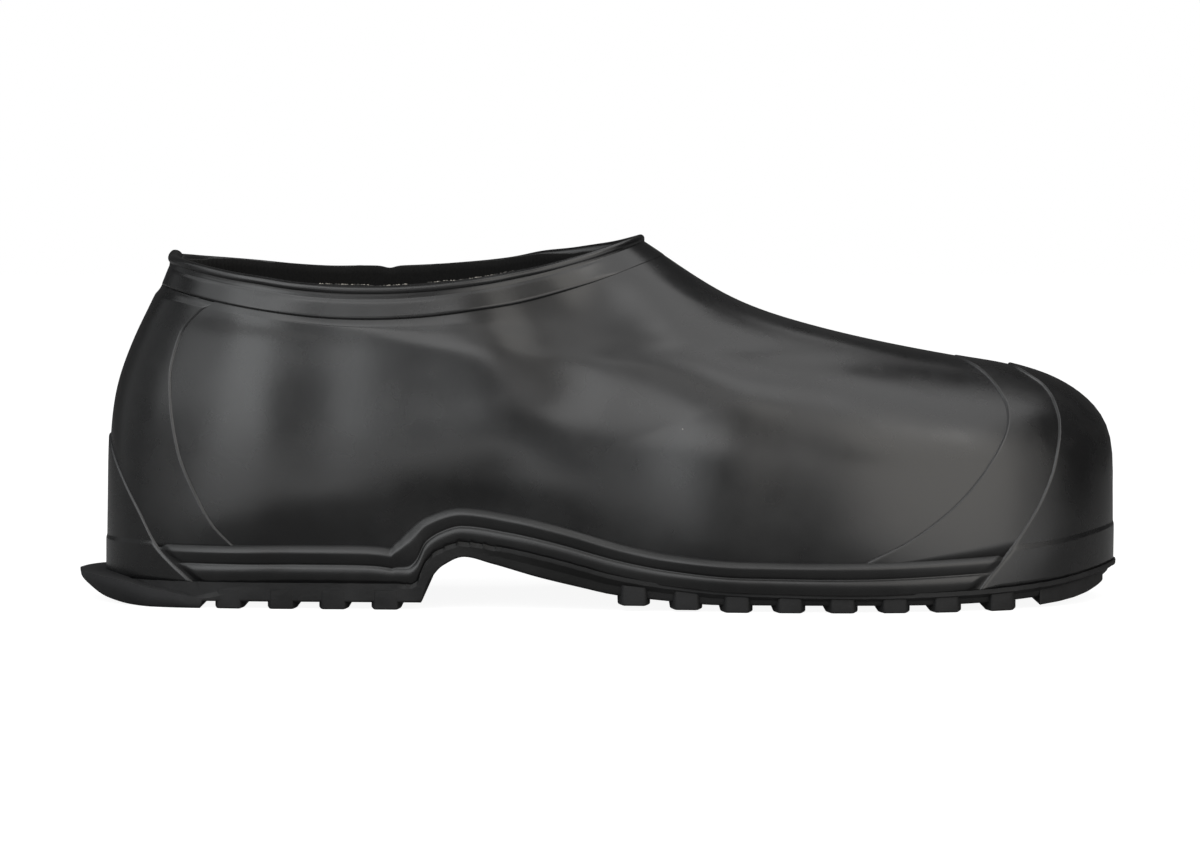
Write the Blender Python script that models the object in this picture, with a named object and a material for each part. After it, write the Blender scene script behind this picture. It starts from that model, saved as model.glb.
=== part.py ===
"""Rubber overshoe for a right foot, standing on its sole.

The heel is at low X, the toe at high X, the outer side of the foot at low Y and the floor at Z = 0.
Tables and sizes are in millimetres; MM turns them into metres when a mesh is made.
The upper is a stack of closed rings. Every piece that lies on it is cut between two forms
of the same surface: a place on it is (t, v), t running once round the shoe from the heel
along the outer side to the toe and back, and v running up the wall from the sole to the collar.
"""
from collections import namedtuple

import bpy
import numpy as np

MM = 0.001

# Walls, layers and clearances
WALL = 2.2
SEAM_GAP = 0.3
SOLE_GAP = 0.4
TRIM_GAP = 0.5
FACET_DIP = 0.15
SIDE_FACING = 0.9
PANEL_THICK = 0.7
GUARD_THICK = 0.9
FOXING_RISE = 11.4
FOXING_BASE = 0.6
RIB_HEIGHT = 1.3
RIB_SPLIT = 0.47
FOXING_ROWS = (0, 0.13, 0.34, RIB_SPLIT, 0.6, 0.85, 1.0)
BAND_FACE = SEAM_GAP + 0.9

# How finely the layers are cut: rows up the wall and columns round it
GUARD_ROWS = (0, 0.34, RIB_SPLIT, 0.6, 1.0)
GUARD_GRID = (7, 15)
CAP_GRID = (9, 21)
COUNTER_GRID = (7, 20)
PANEL_GRID = (5, 18)
END_COLUMNS = 4
LAST_ROW_TURN = 0.93

# Foot shape
CENTRE_SHIFT = 0.4
TOE_SWING = 6.0
HEEL_SHIFT = -2.3
SWING_FROM = -20.0
SWING_TO = 158.0
SWING_POWER = 1.6
INNER_WAIST_X = -28.0
INNER_WAIST_LENGTH = 38.0
BREADTH_AT = (0.0, 0.25, 0.5, 0.75, 1.0)
END_SPLIT = 0.45
LOOP_SAMPLES = 1500
SEARCH_STEPS = 600
NORMAL_STEP_T = 0.002
NORMAL_STEP_V = 0.4

# Rings of the upper from the sole's edge to the collar's edge.
# rise: height above the sole line for the rings that follow it; the others have their own heights
# at the heel, halfway along the outer and inner sides, and at the front.
# heel to nose: half breadths at five places along the ring; cut: narrowing of the inner waist;
# the powers set how blunt the ring's two ends are.
Ring = namedtuple("Ring", "name rise heel_x heel_z outer_z inner_z front_x front_z "
                          "heel quarter waist ball nose cut heel_power nose_power")
RINGS = (
    Ring("feather", 0.0, -152.1, 0, 0, 0, 158.9, 0, 36.5, 39.2, 47.0, 55.4, 42.0, 4.0, 7.5, 6.5),
    Ring("foxing", FOXING_RISE, -152.0, 0, 0, 0, 159.0, 0, 37.5, 41.4, 48.9, 55.6, 42.5, 3.4, 7.5, 6.5),
    Ring("low side", None, -151.7, 36.0, 41.5, 41.5, 158.9, 36.0, 38.0, 42.8, 49.8, 53.4, 42.3, 2.2, 7.5, 6.5),
    Ring("mid side", None, -151.2, 52.0, 52.5, 52.5, 158.2, 48.7, 37.5, 42.9, 48.4, 49.4, 39.5, 1.2, 7.2, 6.2),
    Ring("shoulder", None, -149.3, 65.5, 62.0, 62.5, 152.8, 59.3, 36.6, 42.0, 45.6, 43.5, 34.0, 0.5, 7.0, 5.4),
    Ring("toe crown", None, -146.1, 75.5, 69.5, 71.0, 139.3, 68.2, 35.6, 41.0, 43.0, 37.5, 30.0, 0, 6.5, 4.4),
    Ring("vamp", None, -142.3, 84.3, 76.5, 79.0, 105.0, 76.2, 34.6, 39.7, 41.0, 33.5, 28.0, 0, 6.0, 4.0),
    Ring("throat", None, -139.2, 90.6, 82.0, 86.0, 60.0, 86.4, 33.8, 38.6, 39.9, 34.5, 30.5, 0, 5.6, 4.0),
    Ring("instep", None, -137.6, 93.8, 84.7, 89.0, 38.2, 94.9, 33.3, 37.9, 39.2, 34.5, 30.5, 0, 5.4, 3.9),
    Ring("band", None, -135.7, 97.6, 87.6, 92.6, 20.0, 106.4, 32.7, 37.0, 38.5, 34.0, 28.5, 0, 5.2, 3.8),
    Ring("collar", None, -132.6, 105.2, 96.2, 101.2, 12.6, 111.3, 31.4, 35.2, 36.8, 32.5, 26.5, 0, 5.0, 3.7),
)

# Section of the collar band and its bead. edge: 0 the band's low line, 1 the collar's edge;
# up: distance along the wall from there; out: distance from the wall; lift: distance past the edge.
BandPoint = namedtuple("BandPoint", "edge up out lift")
BAND_SECTION = (
    BandPoint(0, 0.2, SEAM_GAP, 0.0),
    BandPoint(0, 0.3, BAND_FACE, 0.0),
    BandPoint(1, -1.4, BAND_FACE, 0.0),
    BandPoint(1, 0.0, BAND_FACE + 0.9, 0.4),
    BandPoint(1, 0.0, BAND_FACE - 0.2, 1.8),
    BandPoint(1, 0.0, -WALL + 0.2, 1.6),
    BandPoint(1, 0.0, -WALL - 0.1, SEAM_GAP),
    BandPoint(1, 0.0, SEAM_GAP, SEAM_GAP),
)

# Side view of the sole: the line where it meets the upper, the tread's base and the lugs' faces
SOLE_LINE = {
    "x": (-160, -100, -62, -57.5, -55.4, -52.5, -48.5, -41.5, -28, -14, 5, 20, 45, 80, 110, 135, 160),
    "z": (8.2, 8.1, 8.0, 8.0, 8.9, 15.0, 18.6, 21.0, 19.0, 15.9, 11.0, 8.6, 6.5, 5.9, 6.6, 8.2, 12.0),
}
BASE_LINE = {
    "x": (-162, -161, -159, -155, -150, -143, -136, -121.2, -120.4, -54.0, -52.6, -51.0, -47.4, -41,
          -32.6, -18.7, -4.8, 4, 18, 36, 96, 113, 132, 148, 160),
    "z": (8.0, 6.6, 4.6, 3.0, 1.6, 0.4, 0.0, 0.0, 2.2, 2.2, 6.4, 9.4, 13.4, 16.1,
          14.1, 10.1, 6.8, 4.9, 3.4, 2.1, 2.1, 2.4, 3.4, 5.4, 9.0),
}
TREAD_LINE = {
    "x": (-160, 0, 10, 26, 36, 122, 130, 141, 148, 154, 158),
    "z": (0, 0, 1.8, 0.7, 0, 0, 0.7, 1.7, 3.0, 5.2, 8.0),
}

# Rings of the sole's edge from its lip down to its foot. ledge and lean: shares of the kick ledge's
# reach and of the inward lean; drop: share of the way down; line: the ledge's own height there.
SOLE_EDGE = 2.2
SOLE_LIP = 1.3
SIDE_LEAN = 2.6
LEAN_FROM = -45.0
LEAN_TO = 10.0
ACROSS = (0.25, 0.5, 0.75)
EdgeRing = namedtuple("EdgeRing", "name ledge lean drop line")
EDGE_RINGS = (
    EdgeRing("lip", 0.0, 0.0, 0.0, "lip"),
    EdgeRing("tip", 1.0, 0.75, 0.4, "top"),
    EdgeRing("under", 0.94, 0.85, 0.7, "low"),
    EdgeRing("foot", 0.45, 1.0, 1.0, None),
)

# Kick ledge round the heel, by distance along the edge from the middle of the heel
LEDGE = {
    "along": (0, 15, 27, 37, 47, 58, 70),
    "out": (7.6, 6.9, 4.8, 2.8, 1.5, 0.7, 0.0),
    "lip": (9.6, 9.4, 8.2, 6.0, 4.2, 3.2, 2.6),
    "top": (9.4, 9.2, 8.0, 5.8, 4.0, 3.0, 2.4),
    "low": (7.0, 6.6, 4.8, 2.6, 1.2, 0.7, 1.4),
}
LEDGE_FULL = 40.0
LEDGE_END = 66.0
LEDGE_EDGE = 0.15

# Trim lines in side view: x for each height z, the same on both sides
COUNTER_LINE = {
    "z": (16, 20.3, 25.4, 32.6, 47.7, 62.2, 69.8, 82.0, 89.6, 92.3, 94.0),
    "x": (-107, -111.8, -116.7, -121.0, -127.5, -129.9, -130.2, -127.4, -121.1, -116.1, -110.0),
}
GUARD_LINE = {
    "z": (6.0, 8.4, 14.0, 19.3, 28.4, 38.1, 47.3, 52.6),
    "x": (-120.5, -123.1, -129.4, -134.4, -139.4, -145.0, -149.7, -151.6),
}
PANEL_LINE = {
    "z": (12.0, 16.0, 21.9, 31.1, 38.8, 45.9, 56.8, 64.7, 68.7, 72.1, 75.2),
    "x": (72.0, 80.7, 92.7, 105.4, 113.1, 118.8, 123.8, 121.9, 119.2, 115.4, 110.5),
}
CAP_LINE = {
    "z": (6.0, 9.1, 17.4, 27.8, 34.3, 43.3, 55.7, 61.7, 65.8, 69.0, 71.95),
    "x": (112.5, 114.8, 122.0, 129.8, 133.7, 137.4, 139.7, 138.5, 136.0, 131.6, 127.0),
}

# Where the meshes are cut along the shoe
UPPER_X = (-150.6, -146.5, -140.5, -133, -124, -112, -98, -84, -72, -62, -57.5, -55.4, -54.0, -52.6,
           -51.0, -48.5, -45, -41, -34, -25, -12, 3, 18, 36, 52, 68, 84, 98, 110, 120, 129, 137, 144,
           150, 154.5, 157.2)
SOLE_X = tuple(sorted(UPPER_X + (-121.2, -120.4)))
BAND_X = tuple(x for x in UPPER_X if x < -60 or x > -50)
UPPER_ROWS = (0, 0.5, 1, 2, 3, 3.6, 4.3, 5, 5.6, 6.4, 7.2, 8, 9, 10)

# Lugs: middle of each bar along X, its width on the floor and at its tapered ends
LUG_TAPER = 6.0
HEEL_LUGS = {"x": (-112.4, -96.3, -80.6, -64.7), "wide": 9.2, "end": 7.4, "reach": 0.25}
FORE_LUGS = {"x": (10.2, 25.9, 41.0, 56.8, 72.5, 88.2, 103.9, 121.0), "wide": 9.8, "end": 7.0, "reach": -0.6}
LUG_COVER = 1.3
LUG_ROOT = 3.5
TOE_LUG_FROM = 133.0
TOE_LUG_TO = 155.4
TOE_LUG_SHARES = (0.0, 0.3, 0.55, 0.75, 0.9, 1.0)
TOE_LUG_INSET = 1.6

BLACK = (0.022, 0.022, 0.023, 1.0)
DEEP_BLACK = (0.016, 0.016, 0.017, 1.0)
GLOSSY = 0.4
DULL = 0.6


def curve(xs, ys, at):
    """Smooth curve through the points (xs, ys) that never overshoots them, read at `at`."""
    xs = np.asarray(xs, float)
    ys = np.asarray(ys, float)
    step = np.diff(xs)
    slope = np.diff(ys) / step
    tangent = np.zeros_like(ys)
    tangent[0], tangent[-1] = slope[0], slope[-1]
    product = slope[:-1] * slope[1:]
    total = slope[:-1] + slope[1:]
    tangent[1:-1] = np.where(product > 0, 2 * product / np.where(total == 0, 1, total), 0)
    at = np.clip(at, xs[0], xs[-1])
    i = np.clip(np.searchsorted(xs, at) - 1, 0, len(xs) - 2)
    u = (at - xs[i]) / step[i]
    return (ys[i] * (1 + 2 * u) * (1 - u) ** 2 + ys[i + 1] * u * u * (3 - 2 * u)
            + step[i] * (tangent[i] * u * (1 - u) ** 2 - tangent[i + 1] * u * u * (1 - u)))


def through(xs, ys, at):
    """The one smooth polynomial through a few points, read at `at`."""
    return np.polyval(np.polyfit(xs, ys, len(xs) - 1), at)


def spline(knots, values, at):
    """Natural cubic spline through `values` (knot, point, axis), read for each point at its own `at`."""
    count = len(knots)
    step = np.diff(knots)
    slope = np.diff(values, axis=0) / step[:, None, None]
    system = np.eye(count)
    right = np.zeros_like(values)
    for i in range(1, count - 1):
        system[i, i - 1:i + 2] = step[i - 1], 2 * (step[i - 1] + step[i]), step[i]
        right[i] = 6 * (slope[i] - slope[i - 1])
    bend = np.linalg.solve(system, right.reshape(count, -1)).reshape(values.shape)
    i = np.clip(np.searchsorted(knots, at) - 1, 0, count - 2)
    point = np.arange(values.shape[1])
    size = step[i][:, None]
    b = (at - knots[i])[:, None] / size
    a = 1 - b
    return (a * values[i, point] + b * values[i + 1, point]
            + ((a ** 3 - a) * bend[i, point] + (b ** 3 - b) * bend[i + 1, point]) * size ** 2 / 6)


def smooth_step(low, high, at):
    """Rise from 0 at `low` to 1 at `high` with level ends."""
    u = np.clip((at - low) / (high - low), 0, 1)
    return u * u * (3 - 2 * u)


def sole_line(x):
    """Height of the line where the sole meets the upper."""
    return curve(SOLE_LINE["x"], SOLE_LINE["z"], x)


def base_line(x):
    """Height of the tread's base, between the lugs."""
    return curve(BASE_LINE["x"], BASE_LINE["z"], x)


def raised_line(x, rise):
    """Line at a square distance `rise` above the sole line: the top of a disc rolled along it."""
    reach = np.linspace(-1, 1, 61) * rise
    return np.max(sole_line(x[:, None] + reach) + np.sqrt(rise ** 2 - reach ** 2), axis=1)


def swing(x):
    """Sideways curve of the shoe's middle line towards the inner side at the toe."""
    return HEEL_SHIFT + TOE_SWING * np.clip((x - SWING_FROM) / (SWING_TO - SWING_FROM), 0, 1) ** SWING_POWER


def ring_loop(ring):
    """One ring as a closed loop: its t values and its points."""
    f = (1 - np.cos(np.linspace(0, np.pi, LOOP_SAMPLES))) / 2
    x = ring.heel_x + (ring.front_x - ring.heel_x) * f
    breadth = through(BREADTH_AT, (ring.heel, ring.quarter, ring.waist, ring.ball, ring.nose), f)
    heel_end = np.clip(1 - f / END_SPLIT, 0, 1) ** ring.heel_power
    nose_end = np.clip((f - END_SPLIT) / (1 - END_SPLIT), 0, 1) ** ring.nose_power
    half = breadth * np.sqrt(1 - heel_end - nose_end)
    cut = ring.cut * np.exp(-((x - INNER_WAIST_X) / INNER_WAIST_LENGTH) ** 2)
    sides = []
    for side, middle_z, waist_cut in ((-1, ring.outer_z, 0 * cut), (1, ring.inner_z, cut)):
        y = swing(x) + side * (half - np.minimum(waist_cut, half))
        if ring.rise is None:
            z = through((0, 0.5, 1), (ring.heel_z, middle_z, ring.front_z), f)
        elif ring.rise == 0:
            z = sole_line(x)
        else:
            z = raised_line(x, ring.rise)
        along = np.concatenate(([0], np.cumsum(np.hypot(np.diff(x), np.diff(y)))))
        sides.append((along / along[-1] / 2, np.stack((x, y, z), axis=1)))
    (outer_t, outer), (inner_t, inner) = sides
    return np.concatenate((outer_t, 1 - inner_t[::-1][1:])), np.concatenate((outer, inner[::-1][1:]))


def on_loop(loop, t):
    """Points of a loop at the given t."""
    return np.stack([np.interp(np.mod(t, 1.0), loop[0], loop[1][:, axis]) for axis in range(3)], axis=-1)


LOOPS = [ring_loop(ring) for ring in RINGS]
ROUND = np.linspace(0, 1, 200, endpoint=False)
RING_POINTS = np.stack([on_loop(loop, ROUND) for loop in LOOPS])
RING_GAPS = np.linalg.norm(np.diff(RING_POINTS, axis=0), axis=2).mean(axis=1)
RING_V = np.concatenate(([0], np.cumsum(RING_GAPS)))
FOXING_V = RING_V[1]
BAND_V = RING_V[9]
TOP_V = RING_V[10]
T_PER_MM = 1.0 / np.linalg.norm(np.diff(LOOPS[0][1][:, :2], axis=0), axis=1).sum()


def surface(t, v):
    """Point of the upper's outer face."""
    t, v = np.broadcast_arrays(np.asarray(t, float), np.asarray(v, float))
    rings = np.stack([on_loop(loop, t.ravel()) for loop in LOOPS])
    return spline(RING_V, rings, v.ravel()).reshape(t.shape + (3,))


def normals(t, v):
    """Unit normals of the upper's outer face, pointing out of the shoe."""
    t, v = np.broadcast_arrays(np.asarray(t, float), np.asarray(v, float))
    along = surface(t + NORMAL_STEP_T, v) - surface(t - NORMAL_STEP_T, v)
    up = surface(t, np.minimum(v + NORMAL_STEP_V, TOP_V)) - surface(t, np.maximum(v - NORMAL_STEP_V, 0))
    out = np.cross(along, up)
    return out / np.linalg.norm(out, axis=-1, keepdims=True)


def layer(t, v, out):
    """Points at the distance `out` from the upper's outer face.

    The lowest row follows the sole line, and along the sides keeps its place along the shoe.
    """
    t, v = np.broadcast_arrays(np.asarray(t, float), np.asarray(v, float))
    base = surface(t, v)
    square = normals(t, v)
    points = base + square * np.broadcast_to(out, t.shape)[..., None]
    low = v <= 0
    points[..., 0] = np.where(low & (np.abs(square[..., 1]) > SIDE_FACING), base[..., 0], points[..., 0])
    points[..., 2] = np.where(low, sole_line(points[..., 0]), points[..., 2])
    return points


def station_t(xs, side):
    """t of the places along the sole's edge with the given x, on the outer (-1) or inner (1) side."""
    t, points = LOOPS[0]
    half = LOOP_SAMPLES
    if side < 0:
        return np.interp(xs, points[:half, 0], t[:half])
    return np.interp(xs, points[half - 1:, 0][::-1], t[half - 1:][::-1])


def round_columns(xs):
    """t of all columns once round the shoe for a list of x stations."""
    outer = station_t(np.array(xs), -1)
    inner = station_t(np.array(xs), 1)
    return np.concatenate(([0.0], outer, [0.5], inner[::-1]))


def crossing(line, v, side, start):
    """t where a trim line crosses the heights v on one side, searched from the heel (0) or the toe (0.5)."""
    far = 0.5 if start == 0 else 0.0
    scan = np.linspace(start, far, SEARCH_STEPS)
    if side > 0:
        scan = 1 - scan
    points = surface(scan[None, :], np.asarray(v)[:, None])
    ahead = points[..., 0] - curve(line["z"], line["x"], points[..., 2])
    if start == 0:
        ahead = -ahead
    first = np.argmax(ahead < 0, axis=1)
    row = np.arange(len(first))
    before = np.maximum(first - 1, 0)
    share = ahead[row, before] / np.where(first > 0, ahead[row, before] - ahead[row, first], 1)
    share = np.where(first > 0, share, 0)
    found = scan[before] + (scan[first] - scan[before]) * share
    if side > 0 and start == 0:
        found = found - 1
    return found


def apex(line, start):
    """v where a trim line crosses the middle of the heel (0) or of the toe (0.5)."""
    v = np.linspace(FOXING_V, BAND_V, 4 * SEARCH_STEPS)
    points = surface(np.full_like(v, start), v)
    ahead = points[:, 0] - curve(line["z"], line["x"], points[:, 2])
    if start == 0:
        ahead = -ahead
    return v[np.argmax(ahead < 0)]


def add_object(name, points, faces, material):
    """Mesh object in metres from points in millimetres."""
    mesh = bpy.data.meshes.new(name)
    mesh.from_pydata(((points + (CENTRE_SHIFT, 0, 0)) * MM).tolist(), [], faces)
    mesh.materials.append(material)
    mesh.validate()
    made = bpy.data.objects.new(name, mesh)
    bpy.context.scene.collection.objects.link(made)
    return made


def sheet_solid(name, outer, inner, closed, material):
    """Solid between two grids of points (row up the wall, column round the shoe)."""
    rows, cols = outer.shape[:2]
    points = np.concatenate((outer.reshape(-1, 3), inner.reshape(-1, 3)))
    number = np.arange(2 * rows * cols).reshape(2, rows, cols)
    if closed:
        number = np.concatenate((number, number[:, :, :1]), axis=2)
    o, i = number
    sides = [
        (o[:-1, :-1], o[:-1, 1:], o[1:, 1:], o[1:, :-1]),
        (i[:-1, :-1], i[1:, :-1], i[1:, 1:], i[:-1, 1:]),
        (o[0, :-1], i[0, :-1], i[0, 1:], o[0, 1:]),
        (o[-1, :-1], o[-1, 1:], i[-1, 1:], i[-1, :-1]),
    ]
    if not closed:
        sides.append((o[:-1, 0], o[1:, 0], i[1:, 0], i[:-1, 0]))
        sides.append((o[:-1, -1], i[:-1, -1], i[1:, -1], o[1:, -1]))
    faces = []
    for corners in sides:
        faces.extend(np.stack([corner.ravel() for corner in corners], axis=1).tolist())
    return add_object(name, points, faces, material)


def rubber(name, colour, roughness):
    """Plain rubber material."""
    made = bpy.data.materials.new(name)
    made.use_nodes = True
    shader = made.node_tree.nodes["Principled BSDF"]
    shader.inputs["Base Color"].default_value = colour
    shader.inputs["Roughness"].default_value = roughness
    shader.inputs["Metallic"].default_value = 0.0
    made.diffuse_color = colour
    return made


def build_upper():
    """The hollow upper: one wall from the sole's edge to the collar's edge."""
    t = round_columns(UPPER_X)[None, :]
    v = np.interp(UPPER_ROWS, np.arange(len(RING_V)), RING_V)[:, None]
    sheet_solid("upper", layer(t, v, 0.0), layer(t, v, -WALL), True, rubber("upper", BLACK, GLOSSY))


def build_collar_band():
    """The raised band round the collar with the rolled bead that covers the upper's edge."""
    t = round_columns(BAND_X)
    up = surface(t, TOP_V) - surface(t, TOP_V - 1.0)
    up /= np.linalg.norm(up, axis=1, keepdims=True)
    rows = []
    for place in BAND_SECTION:
        v = (TOP_V if place.edge else BAND_V) + place.up
        rows.append(layer(t, v, place.out) + up * place.lift)
    grid = np.stack(rows)
    count, cols = grid.shape[:2]
    number = np.arange(count * cols).reshape(count, cols)
    across = np.roll(number, -1, axis=1)
    above = np.roll(number, -1, axis=0)
    both = np.roll(across, -1, axis=0)
    faces = np.stack((number, across, both, above), axis=2).reshape(-1, 4).tolist()
    add_object("collar_band", grid.reshape(-1, 3), faces, rubber("collar_band", BLACK, GLOSSY))


def end_patch(line, start, top_v, rows, cols):
    """Grid of t and v for a piece that wraps the heel or the toe inside a trim line."""
    above = FOXING_V + (top_v - FOXING_V) * np.sin(np.linspace(0, 0.5 * np.pi * LAST_ROW_TURN, rows))[1:]
    v = np.concatenate((np.array(GUARD_ROWS) * FOXING_V, above))
    outer = crossing(line, v, -1, start)
    inner = crossing(line, v, 1, start)
    first, last = (inner, outer) if start == 0 else (outer, inner)
    share = np.linspace(0, 1, cols)[None, :]
    return first[:, None] * (1 - share) + last[:, None] * share, np.broadcast_to(v[:, None], (len(v), cols))


def arch_edge(line, start, low_v, high_v, count, trim):
    """Trim line from the foxing on one side over the middle to the other side, as t and v."""
    v = low_v + (high_v - low_v) * np.sin(np.linspace(0, 0.5 * np.pi, count))
    away = trim * T_PER_MM if start == 0 else -trim * T_PER_MM
    outer = crossing(line, v[:-1] - trim, -1, start) + away
    inner = crossing(line, v[:-1] - trim, 1, start) - away
    middle = np.array([start])
    if start == 0:
        return np.concatenate((inner, middle, outer[::-1])), np.concatenate((v, v[:-1][::-1]))
    return np.concatenate((outer, middle, inner[::-1])), np.concatenate((v, v[:-1][::-1]))


def counter_edge(count):
    """Outer edge of the counter: its line up to the collar band, then under the band across the back."""
    top = BAND_V - TRIM_GAP
    rising = count // 2
    v = np.linspace(FOXING_V + TRIM_GAP, top, rising)
    outer = crossing(COUNTER_LINE, v, -1, 0)
    inner = crossing(COUNTER_LINE, v, 1, 0)
    level = np.linspace(1, 0, count - rising + 1)[1:]
    outer = np.concatenate((outer, outer[-1] * level))
    inner = np.concatenate((inner, inner[-1] * level))
    v = np.concatenate((v, np.full(len(level), top)))
    return np.concatenate((inner, outer[:-1][::-1])), np.concatenate((v, v[:-1][::-1]))


def between(first, second, rows):
    """Grid of t and v between two edges."""
    share = np.linspace(0, 1, rows)[:, None]
    return [a[None, :] * (1 - share) + b[None, :] * share for a, b in zip(first, second)]


def seating(t, v):
    """Clearance under a piece at each grid point, raised where a flat facet would dip into the curved wall."""
    gap = np.full(t.shape, SEAM_GAP)
    points = layer(t, v, SEAM_GAP)
    rows, cols = t.shape
    for first, second in (((0, 0), (1, 1)), ((0, 1), (1, 0)), ((0, 0), (0, 1)), ((0, 0), (1, 0))):
        high = max(first[0], second[0])
        wide = max(first[1], second[1])
        one = np.s_[first[0]:rows - high + first[0], first[1]:cols - wide + first[1]]
        two = np.s_[second[0]:rows - high + second[0], second[1]:cols - wide + second[1]]
        middle_t = (t[one] + t[two]) / 2
        middle_v = (v[one] + v[two]) / 2
        sunk = (points[one] + points[two]) / 2 - layer(middle_t, middle_v, SEAM_GAP)
        dip = -(sunk * normals(middle_t, middle_v)).sum(axis=-1) - FACET_DIP
        gap[one] = np.maximum(gap[one], SEAM_GAP + dip)
        gap[two] = np.maximum(gap[two], SEAM_GAP + dip)
    return gap


def overlay(name, t, v, thick):
    """Piece of even thickness lying on the upper."""
    gap = seating(t, v)
    sheet_solid(name, layer(t, v, gap + thick), layer(t, v, gap), False, rubber(name, BLACK, GLOSSY))


def build_overlays():
    """Heel guard, heel counter, toe cap and toe panel."""
    guard_top = apex(GUARD_LINE, 0)
    cap_top = apex(CAP_LINE, 0.5)
    panel_top = apex(PANEL_LINE, 0.5)
    low = FOXING_V + TRIM_GAP
    overlay("heel_guard", *end_patch(GUARD_LINE, 0, guard_top, *GUARD_GRID), GUARD_THICK)
    overlay("toe_cap", *end_patch(CAP_LINE, 0.5, cap_top, *CAP_GRID), GUARD_THICK)
    rows, cols = COUNTER_GRID
    guard_edge = arch_edge(GUARD_LINE, 0, low, guard_top + TRIM_GAP, cols, TRIM_GAP)
    overlay("heel_counter", *between(guard_edge, counter_edge(cols), rows), PANEL_THICK)
    rows, cols = PANEL_GRID
    cap_edge = arch_edge(CAP_LINE, 0.5, low, cap_top + TRIM_GAP, cols, TRIM_GAP)
    panel_edge = arch_edge(PANEL_LINE, 0.5, low, panel_top, cols, 0.0)
    overlay("toe_panel", *between(cap_edge, panel_edge, rows), PANEL_THICK)


def build_foxing():
    """Ribbed strip along each side, from the heel guard to the toe cap."""
    share = np.array(FOXING_ROWS)
    v = share * FOXING_V
    place = np.where(share < RIB_SPLIT, share / RIB_SPLIT, (share - RIB_SPLIT) / (1 - RIB_SPLIT))
    rib = np.sqrt(np.clip(1 - (2 * place - 1) ** 2, 0, 1))
    out = (SEAM_GAP + FOXING_BASE + RIB_HEIGHT * rib)[:, None]
    for name, side in (("foxing_outer", -1), ("foxing_inner", 1)):
        heel = crossing(GUARD_LINE, v, side, 0)
        toe = crossing(CAP_LINE, v, side, 0.5)
        if side > 0:
            heel = heel + 1
        heel = heel - side * TRIM_GAP * T_PER_MM
        toe = toe + side * TRIM_GAP * T_PER_MM
        inside = station_t(np.array(UPPER_X), side)
        low = np.minimum(heel, toe).max()
        high = np.maximum(heel, toe).min()
        inside = np.sort(inside[(inside > low + 3 * T_PER_MM) & (inside < high - 3 * T_PER_MM)])
        first, last = (heel, toe) if side < 0 else (toe, heel)
        lead = np.linspace(0, 1, END_COLUMNS, endpoint=False)[None, :]
        start = first[:, None] * (1 - lead) + inside[0] * lead
        finish = last[:, None] * (1 - lead) + inside[-1] * lead
        middle = np.broadcast_to(inside, (len(v), len(inside)))
        t = np.concatenate((start, middle, finish[:, ::-1]), axis=1)
        rows = np.broadcast_to(v[:, None], t.shape)
        outer = layer(t, rows, out)
        inner = layer(t, rows, SEAM_GAP)
        sheet_solid(name, outer, inner, False, rubber(name, BLACK, GLOSSY))


def sole_ring(t, out):
    """Sole's edge loop moved out in plan by `out`: square to itself at the ends, sideways along the sides."""
    here = on_loop(LOOPS[0], t)
    along = on_loop(LOOPS[0], t + 0.001) - on_loop(LOOPS[0], t - 0.001)
    square = np.stack((along[:, 1], -along[:, 0]), axis=1)
    square /= np.linalg.norm(square, axis=1, keepdims=True)
    side = np.abs(square[:, 1]) > SIDE_FACING
    square[side, 1] = 1 / square[side, 1]
    square[side, 0] = 0
    return here[:, :2] + square * np.broadcast_to(out, t.shape)[:, None]


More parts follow.
